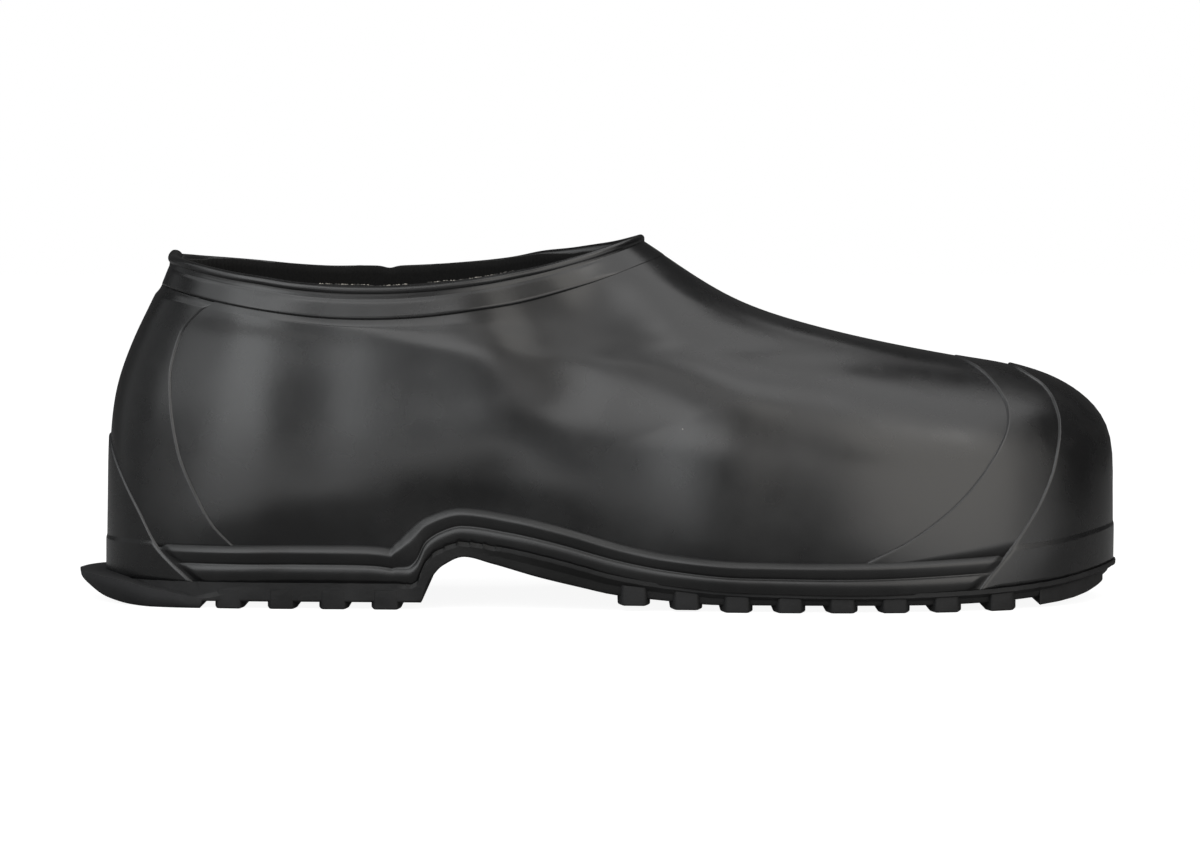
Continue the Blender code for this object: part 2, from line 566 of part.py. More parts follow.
def build_plate():
    """The sole without its lugs: footbed on top, leaning edge, kick ledge, heel and arch underneath."""
    t = round_columns(SOLE_X)
    from_heel = np.minimum(t, 1 - t) / T_PER_MM
    out = curve(LEDGE["along"], LEDGE["out"], from_heel)
    ledge = smooth_step(LEDGE_END, LEDGE_FULL, from_heel)
    edge_x = on_loop(LOOPS[0], t)[:, 0]
    lean = SIDE_LEAN * smooth_step(LEAN_FROM, LEAN_TO, edge_x)
    rim = sole_ring(t, SOLE_EDGE)
    foot = sole_ring(t, SOLE_EDGE + EDGE_RINGS[-1].ledge * out - lean)
    top_z = sole_line(rim[:, 0]) - SOLE_GAP
    foot_z = base_line(foot[:, 0])
    lip_z = np.maximum(top_z - SOLE_LIP, 0.5 * (top_z + foot_z))
    rings = [(rim, top_z)]
    for edge in EDGE_RINGS:
        plan = sole_ring(t, SOLE_EDGE + edge.ledge * out - edge.lean * lean)
        z = lip_z + (foot_z - lip_z) * edge.drop
        if edge.line:
            own = curve(LEDGE["along"], LEDGE[edge.line], from_heel)
            z = np.maximum(z * (1 - ledge) + own * ledge, foot_z + LEDGE_EDGE)
        rings.append((plan, z))
    half = len(SOLE_X) + 1
    inner = (len(t) - np.arange(half + 1)) % len(t)
    points = []
    faces = []
    for plan, z in rings:
        points.extend(np.column_stack((plan, z)))
    count = len(t)
    for level in range(len(rings) - 1):
        a = level * count
        b = a + count
        for c in range(count):
            d = (c + 1) % count
            faces.append((a + c, b + c, b + d, a + d))

    def close(ring_start, plan, height, flip):
        """Face across the sole: three points between each outer point and the inner one opposite."""
        lines = [[ring_start]]
        for c in range(1, half):
            line = [ring_start + c]
            for share in ACROSS:
                place = plan[c] * (1 - share) + plan[inner[c]] * share
                line.append(len(points))
                points.append(np.array((place[0], place[1], height(place[0]))))
            line.append(ring_start + inner[c])
            lines.append(line)
        lines.append([ring_start + half])
        for before, after in zip(lines[:-1], lines[1:]):
            if len(before) == 1:
                made = [(before[0], after[k], after[k + 1]) for k in range(4)]
            elif len(after) == 1:
                made = [(before[k], after[0], before[k + 1]) for k in range(4)]
            else:
                made = [(before[k], after[k], after[k + 1], before[k + 1]) for k in range(4)]
            faces.extend(tuple(int(n) for n in (face[::-1] if flip else face)) for face in made)

    close(0, rim, lambda x: sole_line(np.array([x]))[0] - SOLE_GAP, False)
    close((len(rings) - 1) * count, foot, lambda x: base_line(np.array([x]))[0], True)
    return add_object("outsole", np.array(points), faces, rubber("outsole", DEEP_BLACK, DULL))


def edge_y(x, side, out):
    """y of the sole's edge, moved out by `out`, at each x."""
    t = np.linspace(0, 0.5, 800) if side < 0 else np.linspace(1, 0.5, 800)
    plan = sole_ring(t, np.full(t.shape, out))
    return np.interp(x, plan[:, 0], plan[:, 1])


def prism(outline, low, high):
    """Closed prism from a plan outline and the heights of its two faces."""
    count = len(outline)
    points = np.concatenate((np.column_stack((outline, low)), np.column_stack((outline, high))))
    faces = [tuple(range(count))[::-1], tuple(range(count, 2 * count))]
    for c in range(count):
        d = (c + 1) % count
        faces.append((c, d, count + d, count + c))
    return points, faces


def lug_bar(x, lugs):
    """One bar across the sole with tapered ends."""
    wide = lugs["wide"] / 2
    end = lugs["end"] / 2
    outline = []
    for side in (-1, 1):
        ends = edge_y(np.array((x - end, x + end)), side, SOLE_EDGE + lugs["reach"])
        inset = edge_y(np.array((x - wide, x + wide)), side, SOLE_EDGE + lugs["reach"]) - side * LUG_TAPER
        corners = [(x - wide, inset[0]), (x - end, ends[0]), (x + end, ends[1]), (x + wide, inset[1])]
        outline.extend(corners if side < 0 else corners[::-1])
    outline = np.array(outline)
    low = np.full(len(outline), curve(TREAD_LINE["x"], TREAD_LINE["z"], np.array([x]))[0])
    high = np.minimum(sole_line(outline[:, 0]) - LUG_COVER, base_line(outline[:, 0]) + LUG_ROOT)
    return prism(outline, low, high)


def toe_block():
    """The last lug, which fills the toe behind its edge."""
    x = TOE_LUG_FROM + (TOE_LUG_TO - TOE_LUG_FROM) * np.array(TOE_LUG_SHARES)
    outer = np.column_stack((x, edge_y(x, -1, SOLE_EDGE - TOE_LUG_INSET)))
    inner = np.column_stack((x, edge_y(x, 1, SOLE_EDGE - TOE_LUG_INSET)))
    outline = np.concatenate((outer, inner[::-1]))
    low = curve(TREAD_LINE["x"], TREAD_LINE["z"], outline[:, 0])
    high = np.minimum(sole_line(outline[:, 0]) - LUG_COVER, base_line(outline[:, 0]) + LUG_ROOT)
    return prism(outline, low, high)


def build_outsole():
    """The sole with its lugs joined on."""
    plate = build_plate()
    points = np.zeros((0, 3))
    faces = []
    bars = [lug_bar(x, HEEL_LUGS) for x in HEEL_LUGS["x"]] + [lug_bar(x, FORE_LUGS) for x in FORE_LUGS["x"]]
    for more_points, more_faces in bars + [toe_block()]:
        faces.extend(tuple(n + len(points) for n in face) for face in more_faces)
        points = np.concatenate((points, more_points))
    lugs = add_object("lug_cutter", points, faces, plate.data.materials[0])
    lugs.hide_render = True
    lugs.display_type = "WIRE"
    join = plate.modifiers.new("lugs", "BOOLEAN")
    join.operation = "UNION"
    join.solver = "EXACT"
    join.object = lugs


for old in list(bpy.data.objects):
    bpy.data.objects.remove(old, do_unlink=True)

build_outsole()
build_upper()
build_foxing()
build_overlays()
build_collar_band()
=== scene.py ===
# %% [markdown]
# # A black rubber overshoe
# An overshoe is pulled on over a work shoe to keep it dry. The real one is built from sheets of soft
# rubber laid over a foot-shaped last and cured in one go, so its layers read as low, rounded steps in
# one black skin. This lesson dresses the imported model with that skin, its lining and its lugged sole.

# %% Frame
import math
from collections import namedtuple

import bmesh
import bpy
import numpy as np
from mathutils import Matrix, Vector


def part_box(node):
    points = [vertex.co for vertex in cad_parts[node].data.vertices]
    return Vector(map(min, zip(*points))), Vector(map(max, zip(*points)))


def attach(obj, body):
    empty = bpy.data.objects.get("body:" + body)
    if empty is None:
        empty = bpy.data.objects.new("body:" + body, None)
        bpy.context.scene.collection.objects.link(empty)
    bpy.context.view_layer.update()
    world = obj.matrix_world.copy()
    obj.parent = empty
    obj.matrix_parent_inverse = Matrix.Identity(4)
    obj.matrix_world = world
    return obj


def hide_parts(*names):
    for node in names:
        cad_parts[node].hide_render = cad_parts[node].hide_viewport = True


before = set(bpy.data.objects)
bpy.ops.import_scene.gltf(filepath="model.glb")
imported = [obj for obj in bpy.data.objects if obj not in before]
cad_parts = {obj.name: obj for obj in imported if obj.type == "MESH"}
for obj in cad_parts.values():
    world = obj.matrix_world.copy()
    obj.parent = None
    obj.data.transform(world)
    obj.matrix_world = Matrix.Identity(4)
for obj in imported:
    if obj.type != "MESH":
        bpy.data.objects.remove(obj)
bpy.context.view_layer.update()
MM = 0.001
print("nodes in the frame:", sorted(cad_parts))

# %% [markdown]
# ## Curves
# Three small helpers draw every line of the shoe. One never overshoots its points, which suits edges
# that are measured. One is a single polynomial, which suits a few points of a smooth sweep.
# The third is a natural spline, which carries the wall from ring to ring. Beside them stand a soft
# step, spacings that crowd at both ends, and an uneven line for whatever is cut or torn by hand.

# %% Curve helpers
Wave = namedtuple("Wave", "size seed length")
WAVE_TERMS, WAVE_PITCH, WAVE_PHASE, WAVE_SCALE = 5, 1.37, (1.7, 2.3), 1.8


def curve(xs, ys, at):
    """Cubic pieces through (xs, ys), with slopes from the harmonic mean of the neighbouring slopes."""
    xs, ys = np.asarray(xs, float), np.asarray(ys, float)
    step = np.diff(xs)
    slope = np.diff(ys) / step
    tangent = np.zeros_like(ys)
    tangent[0], tangent[-1] = slope[0], slope[-1]
    product = slope[:-1] * slope[1:]
    total = slope[:-1] + slope[1:]
    tangent[1:-1] = np.where(product > 0, 2 * product / np.where(total == 0, 1, total), 0)
    at = np.clip(at, xs[0], xs[-1])
    i = np.clip(np.searchsorted(xs, at) - 1, 0, len(xs) - 2)
    u = (at - xs[i]) / step[i]
    return (ys[i] * (1 + 2 * u) * (1 - u) ** 2 + ys[i + 1] * u * u * (3 - 2 * u)
            + step[i] * (tangent[i] * u * (1 - u) ** 2 - tangent[i + 1] * u * u * (1 - u)))


def through(xs, ys, at):
    """The polynomial of least degree through a few points."""
    return np.polyval(np.polyfit(xs, ys, len(xs) - 1), at)


def spline(knots, values, at):
    """Natural cubic spline through values[knot, point, axis], read for each point at its own place."""
    count = len(knots)
    step = np.diff(knots)
    slope = np.diff(values, axis=0) / step[:, None, None]
    system = np.eye(count)
    right = np.zeros_like(values)
    for i in range(1, count - 1):
        system[i, i - 1:i + 2] = step[i - 1], 2 * (step[i - 1] + step[i]), step[i]
        right[i] = 6 * (slope[i] - slope[i - 1])
    bend = np.linalg.solve(system, right.reshape(count, -1)).reshape(values.shape)
    i = np.clip(np.searchsorted(knots, at) - 1, 0, count - 2)
    point = np.arange(values.shape[1])
    size = step[i][:, None]
    b = (at - knots[i])[:, None] / size
    a = 1 - b
    return (a * values[i, point] + b * values[i + 1, point]
            + ((a ** 3 - a) * bend[i, point] + (b ** 3 - b) * bend[i + 1, point]) * size ** 2 / 6)


def smooth_step(low, high, at):
    """3u^2 - 2u^3, where u runs from 0 at `low` to 1 at `high`."""
    u = np.clip((at - low) / (high - low), 0, 1)
    return u * u * (3 - 2 * u)


def eased(count):
    """Shares from 0 to 1 that crowd at both ends: (1 - cos) / 2."""
    return (1 - np.cos(np.linspace(0, np.pi, count))) / 2


def uneven(at, wave):
    """Uneven line: sines of falling length with fixed phases, between about -size and size."""
    total = np.zeros_like(at, dtype=float)
    for k in range(1, WAVE_TERMS + 1):
        phase = wave.seed * (WAVE_PHASE[0] + WAVE_PHASE[1] * k)
        total += np.sin(2 * np.pi * at * k * WAVE_PITCH / wave.length + phase) / k
    return wave.size * (total / WAVE_SCALE)


def unit(vectors):
    """Vectors made one long: each divided by its own length."""
    return vectors / np.linalg.norm(vectors, axis=-1, keepdims=True)


print("curve helpers ready")

# %% [markdown]
# ## The last
# A shoe takes its shape from a last, a form like a foot. Here the last is a stack of closed rings, from
# the sole's edge up to the collar. A place on the wall is (t, v): t runs once round the shoe from the
# heel along the outer side to the toe and back, and v runs up the wall in millimetres. The rings repeat
# the frame's own sizes, so each new surface falls exactly on the solid that it stands for.

# %% Rings of the wall
WALL = 2.2
FOXING_RISE = 11.4
Ring = namedtuple("Ring", "name rise heel_x heel_z outer_z inner_z front_x front_z "
                          "heel quarter waist ball nose cut heel_power nose_power")
RINGS = (
    Ring("feather", 0, -152.1, 0, 0, 0, 158.9, 0, 36.5, 39.2, 47, 55.4, 42, 4, 7.5, 6.5),
    Ring("foxing", FOXING_RISE, -152, 0, 0, 0, 159, 0, 37.5, 41.4, 48.9, 55.6, 42.5, 3.4, 7.5, 6.5),
    Ring("low side", None, -151.7, 36, 41.5, 41.5, 158.9, 36, 38, 42.8, 49.8, 53.4, 42.3, 2.2, 7.5, 6.5),
    Ring("mid side", None, -151.2, 52, 52.5, 52.5, 158.2, 48.7, 37.5, 42.9, 48.4, 49.4, 39.5, 1.2, 7.2, 6.2),
    Ring("shoulder", None, -149.3, 65.5, 62, 62.5, 152.8, 59.3, 36.6, 42, 45.6, 43.5, 34, 0.5, 7, 5.4),
    Ring("toe crown", None, -146.1, 75.5, 69.5, 71, 139.3, 68.2, 35.6, 41, 43, 37.5, 30, 0, 6.5, 4.4),
    Ring("vamp", None, -142.3, 84.3, 76.5, 79, 105, 76.2, 34.6, 39.7, 41, 33.5, 28, 0, 6, 4),
    Ring("throat", None, -139.2, 90.6, 82, 86, 60, 86.4, 33.8, 38.6, 39.9, 34.5, 30.5, 0, 5.6, 4),
    Ring("instep", None, -137.6, 93.8, 84.7, 89, 38.2, 94.9, 33.3, 37.9, 39.2, 34.5, 30.5, 0, 5.4, 3.9),
    Ring("band", None, -135.7, 97.6, 87.6, 92.6, 20, 106.4, 32.7, 37, 38.5, 34, 28.5, 0, 5.2, 3.8),
    Ring("collar", None, -132.6, 105.2, 96.2, 101.2, 12.6, 111.3, 31.4, 35.2, 36.8, 32.5, 26.5, 0, 5, 3.7),
)
BREADTH_AT = (0.0, 0.25, 0.5, 0.75, 1.0)
END_SPLIT = 0.45
LOOP_SAMPLES, RING_SAMPLES, DISC_SAMPLES = 1500, 200, 61
TOE_SWING = 6.0
HEEL_SHIFT = -2.3
SWING_FROM, SWING_TO, SWING_POWER = -20.0, 158.0, 1.6
INNER_WAIST_X, INNER_WAIST_LENGTH = -28.0, 38.0
SOLE_LINE = {
    "x": (-160, -100, -62, -57.5, -55.4, -52.5, -48.5, -41.5, -28, -14, 5, 20, 45, 80, 110, 135, 160),
    "z": (8.2, 8.1, 8.0, 8.0, 8.9, 15.0, 18.6, 21.0, 19.0, 15.9, 11.0, 8.6, 6.5, 5.9, 6.6, 8.2, 12.0),
}
SHIFT_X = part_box("upper")[0].x / MM - RINGS[0].heel_x


def sole_line(x):
    """Height of the line where the sole meets the wall."""
    return curve(SOLE_LINE["x"], SOLE_LINE["z"], x)


def raised_line(x, rise):
    """Top of a disc of radius `rise` rolled along the sole line."""
    reach = np.linspace(-1, 1, DISC_SAMPLES) * rise
    return np.max(sole_line(x[:, None] + reach) + np.sqrt(rise ** 2 - reach ** 2), axis=1)


def swing(x):
    """Sideways place of the middle line, curving towards the inner side at the toe."""
    return HEEL_SHIFT + TOE_SWING * np.clip((x - SWING_FROM) / (SWING_TO - SWING_FROM), 0, 1) ** SWING_POWER


def ring_loop(ring):
    """Half breadth = polynomial times sqrt(1 - heel end - nose end), each end a power of the way to it."""
    f = eased(LOOP_SAMPLES)
    x = ring.heel_x + (ring.front_x - ring.heel_x) * f
    breadth = through(BREADTH_AT, (ring.heel, ring.quarter, ring.waist, ring.ball, ring.nose), f)
    heel_end = np.clip(1 - f / END_SPLIT, 0, 1) ** ring.heel_power
    nose_end = np.clip((f - END_SPLIT) / (1 - END_SPLIT), 0, 1) ** ring.nose_power
    half = breadth * np.sqrt(1 - heel_end - nose_end)
    cut = ring.cut * np.exp(-((x - INNER_WAIST_X) / INNER_WAIST_LENGTH) ** 2)
    sides = []
    for side, middle_z, waist_cut in ((-1, ring.outer_z, 0 * cut), (1, ring.inner_z, cut)):
        y = swing(x) + side * (half - np.minimum(waist_cut, half))
        if ring.rise is None:
            z = through((0, 0.5, 1), (ring.heel_z, middle_z, ring.front_z), f)
        elif ring.rise == 0:
            z = sole_line(x)
        else:
            z = raised_line(x, ring.rise)
        along = np.concatenate(([0], np.cumsum(np.hypot(np.diff(x), np.diff(y)))))
        sides.append((along / along[-1] / 2, np.stack((x, y, z), axis=1)))
    (outer_t, outer), (inner_t, inner) = sides
    return np.concatenate((outer_t, 1 - inner_t[::-1][1:])), np.concatenate((outer, inner[::-1][1:]))


def on_loop(loop, t):
    """Points of a loop at the given t, by straight interpolation between its many samples."""
    return np.stack([np.interp(np.mod(t, 1.0), loop[0], loop[1][:, axis]) for axis in range(3)], axis=-1)


def at_x(loop, xs, side):
    """t of the places of a loop with the given x, on one side."""
    t, points = loop
    if side < 0:
        return np.interp(xs, points[:LOOP_SAMPLES, 0], t[:LOOP_SAMPLES])
    return np.interp(xs, points[LOOP_SAMPLES - 1:, 0][::-1], t[LOOP_SAMPLES - 1:][::-1])


LOOPS = [ring_loop(ring) for ring in RINGS]
ROUND = np.linspace(0, 1, RING_SAMPLES, endpoint=False)
RING_POINTS = np.stack([on_loop(loop, ROUND) for loop in LOOPS])
RING_STEPS = np.linalg.norm(np.diff(RING_POINTS, axis=0), axis=2).mean(axis=1)
RING_V = np.concatenate(([0], np.cumsum(RING_STEPS)))
RING_NAMES = [ring.name for ring in RINGS]
FOXING_V, BAND_V, TOP_V = (RING_V[RING_NAMES.index(name)] for name in ("foxing", "band", "collar"))
PERIMETER = np.linalg.norm(np.diff(LOOPS[0][1][:, :2], axis=0), axis=1).sum()
print("wall: %.0f mm round the sole, %.0f mm up to the collar" % (PERIMETER, TOP_V))

# %% [markdown]
# ## The wall as a surface
# Between the rings the wall is a spline at each t. Every layer, swell and cloth is raised from it along
# its normal, the direction square to the wall.

# %% The wall as a surface
STEP_T, STEP_V = 0.002, 0.4


def paired(t, v):
    """t and v as arrays of one shape."""
    return np.broadcast_arrays(np.asarray(t, float), np.asarray(v, float))


def whole_round(columns):
    """A row of t that goes once round the shoe."""
    return np.linspace(0, 1, columns, endpoint=False)[None, :]


def surface(t, v):
    """Outer face of the wall: a spline up through the rings' points at t."""
    t, v = paired(t, v)
    rings = np.stack([on_loop(loop, t.ravel()) for loop in LOOPS])
    return spline(RING_V, rings, v.ravel()).reshape(t.shape + (3,))


def along_wall(t, v):
    """Step of the surface along t."""
    return surface(t + STEP_T, v) - surface(t - STEP_T, v)


def normals(t, v):
    """Cross product of the surface's steps along t and along v, made one long."""
    t, v = paired(t, v)
    up = surface(t, np.minimum(v + STEP_V, TOP_V)) - surface(t, np.maximum(v - STEP_V, 0))
    return unit(np.cross(along_wall(t, v), up))


print("wall surface ready")

# %% [markdown]
# ## Creases
# Soft rubber keeps the memory of its last and of the box that it was folded into. Broad, shallow
# troughs and swells steer the reflections, and without them black rubber looks like plastic.
# Each one is given as a path in side view with a width and a height.

# %% Crease table
Crease = namedtuple("Crease", "name side path width height")
CREASES = (
    Crease("swell of the ball", -1, ((20, 82), (37, 60), (34, 22)), 18, 2.7),
    Crease("front of the ball", -1, ((70, 60), (73, 26)), 25, 2.3),
    Crease("fold from the throat", -1, ((-27, 97), (-19, 82), (-9, 70)), 9, -0.8),
    Crease("swell of the quarter", -1, ((-37, 86), (-31, 64)), 13, 0.8),
    Crease("hollow at the ankle", -1, ((-82, 78), (-84, 50)), 12, -0.6),
    Crease("swell of the heel", -1, ((-106, 80), (-104, 30)), 15, 1.0),
    Crease("hollow of the waist", -1, ((-92, 18), (-70, 19), (-50, 29), (-32, 36)), 12, -1.2),
    Crease("inner fold", 1, ((-20, 95), (8, 80), (30, 62)), 12, -0.8),
    Crease("inner ankle", 1, ((-80, 70), (-72, 50)), 15, -0.6),
    Crease("inner waist", 1, ((-62, 42), (-8, 46)), 12, -0.7),
)
CREASE_FADE = (4.0, 20.0)


def path_gap(place, path):
    """Distance from each place (x, z) to the nearest point of a path of straight runs."""
    gaps = []
    for start, end in zip(np.array(path[:-1], float), np.array(path[1:], float)):
        run = end - start
        share = np.clip(((place - start) @ run) / (run @ run), 0, 1)
        gaps.append(np.linalg.norm(place - start - share[..., None] * run, axis=-1))
    return np.min(gaps, axis=0)


def relief(t, v):
    """Sum of heights times exp(-(distance to the path / width)^2), faded towards the shoe's top."""
    points = surface(t, v)
    across = points[..., 1] - swing(points[..., 0])
    total = np.zeros(points.shape[:-1])
    for crease in CREASES:
        side = smooth_step(*CREASE_FADE, crease.side * across)
        gap = path_gap(points[..., (0, 2)], crease.path)
        total += crease.height * side * np.exp(-(gap / crease.width) ** 2)
    return total


def skin(t, v, out):
    """Points `out` millimetres off the creased wall; the lowest row keeps to the sole line."""
    t, v = paired(t, v)
    height = relief(t, v) + np.broadcast_to(out, t.shape)
    points = surface(t, v) + normals(t, v) * height[..., None]
    points[..., 2] = np.where(v <= 0, sole_line(points[..., 0]), points[..., 2])
    return points


print("creases:", len(CREASES))

# %% [markdown]
# ## From arrays to meshes
# A piece of rubber is either a profile carried right round the shoe, which closes on itself both ways,
# or a patch with an outer and an inner face and a rim. Two helpers turn such arrays of points into
# closed meshes. Welding joins the points that meet at a seam or at the end of a patch.

# %% Mesh helpers
WELD = 1e-6
SHARP_ANGLE = math.radians(38)
# This attribute holds a share of grey: rubbed wear, and on the sole's lugs a painted sheen.
WEAR_AND_SHEEN_NAME = "wear_and_sheen"


def new_object(name, data):
    """Object in the scene that shows some data."""
    made = bpy.data.objects.new(name, data)
    bpy.context.scene.collection.objects.link(made)
    return made


def make_mesh(name, points, faces, material, sharp=False, wear_and_sheen=None):
    """Closed mesh at the origin, from points in millimetres, with a share of grey at each point where given:
    rubbing, and on the lugs a painted sheen.
    """
    mesh = bpy.data.meshes.new(name)
    mesh.from_pydata(((points + (SHIFT_X, 0, 0)) * MM).tolist(), [], faces)
    if wear_and_sheen is not None:
        mesh.attributes.new(WEAR_AND_SHEEN_NAME, "FLOAT", "POINT").data.foreach_set("value", wear_and_sheen.astype(np.float32))
    work = bmesh.new()
    work.from_mesh(mesh)
    bmesh.ops.remove_doubles(work, verts=work.verts, dist=WELD)
    bmesh.ops.dissolve_degenerate(work, edges=work.edges, dist=WELD)
    bmesh.ops.recalc_face_normals(work, faces=work.faces)
    volume = work.calc_volume(signed=True) / MM ** 3
    open_edges = sum(not edge.is_manifold for edge in work.edges)
    work.to_mesh(mesh)
    work.free()
    mesh.shade_smooth()
    if sharp:
        mesh.set_sharp_from_angle(angle=SHARP_ANGLE)
    mesh.materials.append(material)
    print("%-15s %6d faces, %8.0f cubic mm, %d open edges" % (name, len(mesh.polygons), volume, open_edges))
    return new_object(name, mesh)


def quads(number):
    """Faces of a grid of point numbers (row, column)."""
    corners = (number[:-1, :-1], number[:-1, 1:], number[1:, 1:], number[1:, :-1])
    return np.stack([c.ravel() for c in corners], axis=1)


def numbered(rows, cols):
    """Point numbers of a grid whose last column meets its first."""
    number = np.arange(rows * cols).reshape(rows, cols)
    return np.concatenate((number, number[:, :1]), axis=1)


def wrapped(grid):
    """Points and faces of a profile (row) carried round the shoe (column), closed both ways."""
    number = numbered(*grid.shape[:2])
    return grid.reshape(-1, 3), quads(np.concatenate((number, number[:1])))


def shell(outer, inner):
    """Points and faces of a patch with an outer and an inner face, closed round its rim."""
    rows, cols = outer.shape[:2]
    number = np.arange(2 * rows * cols).reshape(2, rows, cols)
    o, i = number
    faces = [
        quads(o),
        quads(i)[:, ::-1],
        quads(np.stack((i[0], o[0]))),
        quads(np.stack((o[-1], i[-1]))),
        quads(np.stack((i[:, 0], o[:, 0])))[:, ::-1],
        quads(np.stack((o[:, -1], i[:, -1])))[:, ::-1],
    ]
    return np.concatenate((outer.reshape(-1, 3), inner.reshape(-1, 3))), np.concatenate(faces)


def settle(piece, slot, *nodes):
    """The piece rides on the one body and stands for the frame's nodes, which it hides; `slot` is not used.
    """
    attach(piece, "root")
    if nodes:
        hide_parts(*nodes)
    return piece


print("mesh helpers ready")

# %% [markdown]
# ## Finishes
# Three effects come up again and again on cured rubber: a cloudy bloom that makes it lighter and duller
# in patches, a very fine grain left by the mould, and stray specks of lint. Each is a node group that
# puts out a mask or a height, so that every rubber piece can use it with its own strength. A few small
# helpers come first, which make a node and set or link its sockets.

# %% Node helpers


def feed(tree, socket, item):
    """A socket takes a link from another socket, or a constant."""
    if isinstance(item, bpy.types.NodeSocket):
        tree.links.new(item, socket)
    else:
        socket.default_value = item


def add(tree, kind, inputs=None, **settings):
    """Node of a kind with settings, and with links or constants in its sockets."""
    node = tree.nodes.new(kind)
    for key, value in settings.items():
        setattr(node, key, value)
    for key, item in (inputs or {}).items():
        feed(tree, node.inputs[key], item)
    return node


def object_place(tree):
    """Place on the object itself, in metres."""
    return add(tree, "ShaderNodeTexCoord").outputs["Object"]


def noise(tree, where, scale, detail, roughness=0.5):
    """Noise over a place, from 0 to 1."""
    inputs = {"Vector": where, "Scale": scale, "Detail": detail, "Roughness": roughness}
    return add(tree, "ShaderNodeTexNoise", inputs).outputs["Fac"]


def ramp(tree, source, low, high):
    """Smooth 0 to 1 between two values of a source."""
    return add(tree, "ShaderNodeMapRange", {"Value": source, "From Min": low, "From Max": high},
               interpolation_type="SMOOTHSTEP").outputs["Result"]


def calc(tree, how, first, second):
    """Math node on two sockets or numbers."""
    return add(tree, "ShaderNodeMath", {0: first, 1: second}, operation=how).outputs[0]


def blend_colour(tree, factor, first, second):
    """Mix of two colours by a factor."""
    node = add(tree, "ShaderNodeMix", {"Factor": factor}, data_type="RGBA")
    for name, item in (("A", first), ("B", second)):
        feed(tree, [s for s in node.inputs if s.name == name and s.type == "RGBA"][0], item)
    return [s for s in node.outputs if s.type == "RGBA"][0]


print("node helpers ready")

# %% Shared effects
BLOOM_SCALE, RIPPLE_SCALE, LINT_SHARE = 14.0, 60.0, 0.025


def group(name, output, **inputs):
    """Empty node group with float inputs (name=value) and one float output."""
    made = bpy.data.node_groups.new(name, "ShaderNodeTree")
    for label, value in inputs.items():
        socket = made.interface.new_socket(label, in_out="INPUT", socket_type="NodeSocketFloat")
        socket.default_value = value
    made.interface.new_socket(output, in_out="OUTPUT", socket_type="NodeSocketFloat")
    return made, made.nodes.new("NodeGroupInput").outputs, made.nodes.new("NodeGroupOutput").inputs


def make_bloom():
    """Cloudy patches: 0.7 of a broad noise plus 0.3 of a finer one, pushed apart into a soft mask."""
    tree, entry, leave = group("rubber_bloom", "Cloud", Scale=BLOOM_SCALE)
    where = object_place(tree)
    broad = noise(tree, where, entry["Scale"], 4.0, 0.6)
    fine = noise(tree, where, calc(tree, "MULTIPLY", entry["Scale"], 7.0), 3.0)
    mixed = calc(tree, "ADD", calc(tree, "MULTIPLY", broad, 0.7), calc(tree, "MULTIPLY", fine, 0.3))
    feed(tree, leave["Cloud"], ramp(tree, mixed, 0.35, 0.68))
    return tree


def make_grain():
    """Mould grain: 0.35 of a fine noise over a slow ripple of the hand-laid sheet, as a height."""
    tree, entry, leave = group("mould_grain", "Height", Grain=900.0, Ripple=RIPPLE_SCALE)
    where = object_place(tree)
    fine = noise(tree, where, entry["Grain"], 2.0)
    slow = noise(tree, where, entry["Ripple"], 2.0)
    feed(tree, leave["Height"], calc(tree, "ADD", calc(tree, "MULTIPLY", fine, 0.35), slow))
    return tree


def make_lint():
    """Specks: the centres of a few cells of a cell pattern, picked by the cell's own random colour."""
    tree, entry, leave = group("lint_specks", "Speck", Density=120.0, Share=LINT_SHARE, Size=0.026)
    cells = add(tree, "ShaderNodeTexVoronoi", {"Vector": object_place(tree), "Scale": entry["Density"]})
    near = calc(tree, "LESS_THAN", cells.outputs["Distance"], entry["Size"])
    value = add(tree, "ShaderNodeSeparateColor", {"Color": cells.outputs["Color"]})
    chosen = calc(tree, "LESS_THAN", value.outputs["Red"], entry["Share"])
    feed(tree, leave["Speck"], calc(tree, "MULTIPLY", near, chosen))
    return tree


BLOOM, GRAIN, LINT = make_bloom(), make_grain(), make_lint()
print("effects:", [g.name for g in (BLOOM, GRAIN, LINT)])

# %% [markdown]
# ## Rubber
# The rubber is nearly black with a soft, wide gloss. The bloom lightens and dulls it a little, the
# grain breaks up the reflections, and rubbed edges turn grey. On the sole's lugs the same grey is a
# painted sheen, which stands in for their reflection of the floor.

# %% Rubber
BLACK, GREYED = (0.003, 0.003, 0.0032, 1.0), (0.008, 0.008, 0.0082, 1.0)
# The second grey below is for rubbed edges; on the lugs it is a painted sheen.
LINT_GREY, WEAR_AND_SHEEN_GREY = (0.12, 0.115, 0.105, 1.0), (0.024, 0.024, 0.025, 1.0)
WEAR_AND_SHEEN_CLOUD, WEAR_AND_SHEEN_DULL = (-0.6, 0.7), 0.12
GRAIN_DEPTH = 0.001


def grey(value):
    """Opaque grey."""
    return (value, value, value, 1.0)


def new_material(name):
    """Material with nodes: itself, its tree and its shader."""
    made = bpy.data.materials.new(name)
    made.use_nodes = True
    return made, made.node_tree, made.node_tree.nodes["Principled BSDF"]


def dress(tree, shader, inputs):
    """Feeds a shader's sockets."""
    for name, item in inputs.items():
        feed(tree, shader.inputs[name], item)


def bump_by(tree, height, strength, depth):
    """Normal bent by a height, `depth` metres at 1."""
    inputs = {"Height": height, "Strength": strength, "Distance": depth}
    return add(tree, "ShaderNodeBump", inputs).outputs["Normal"]


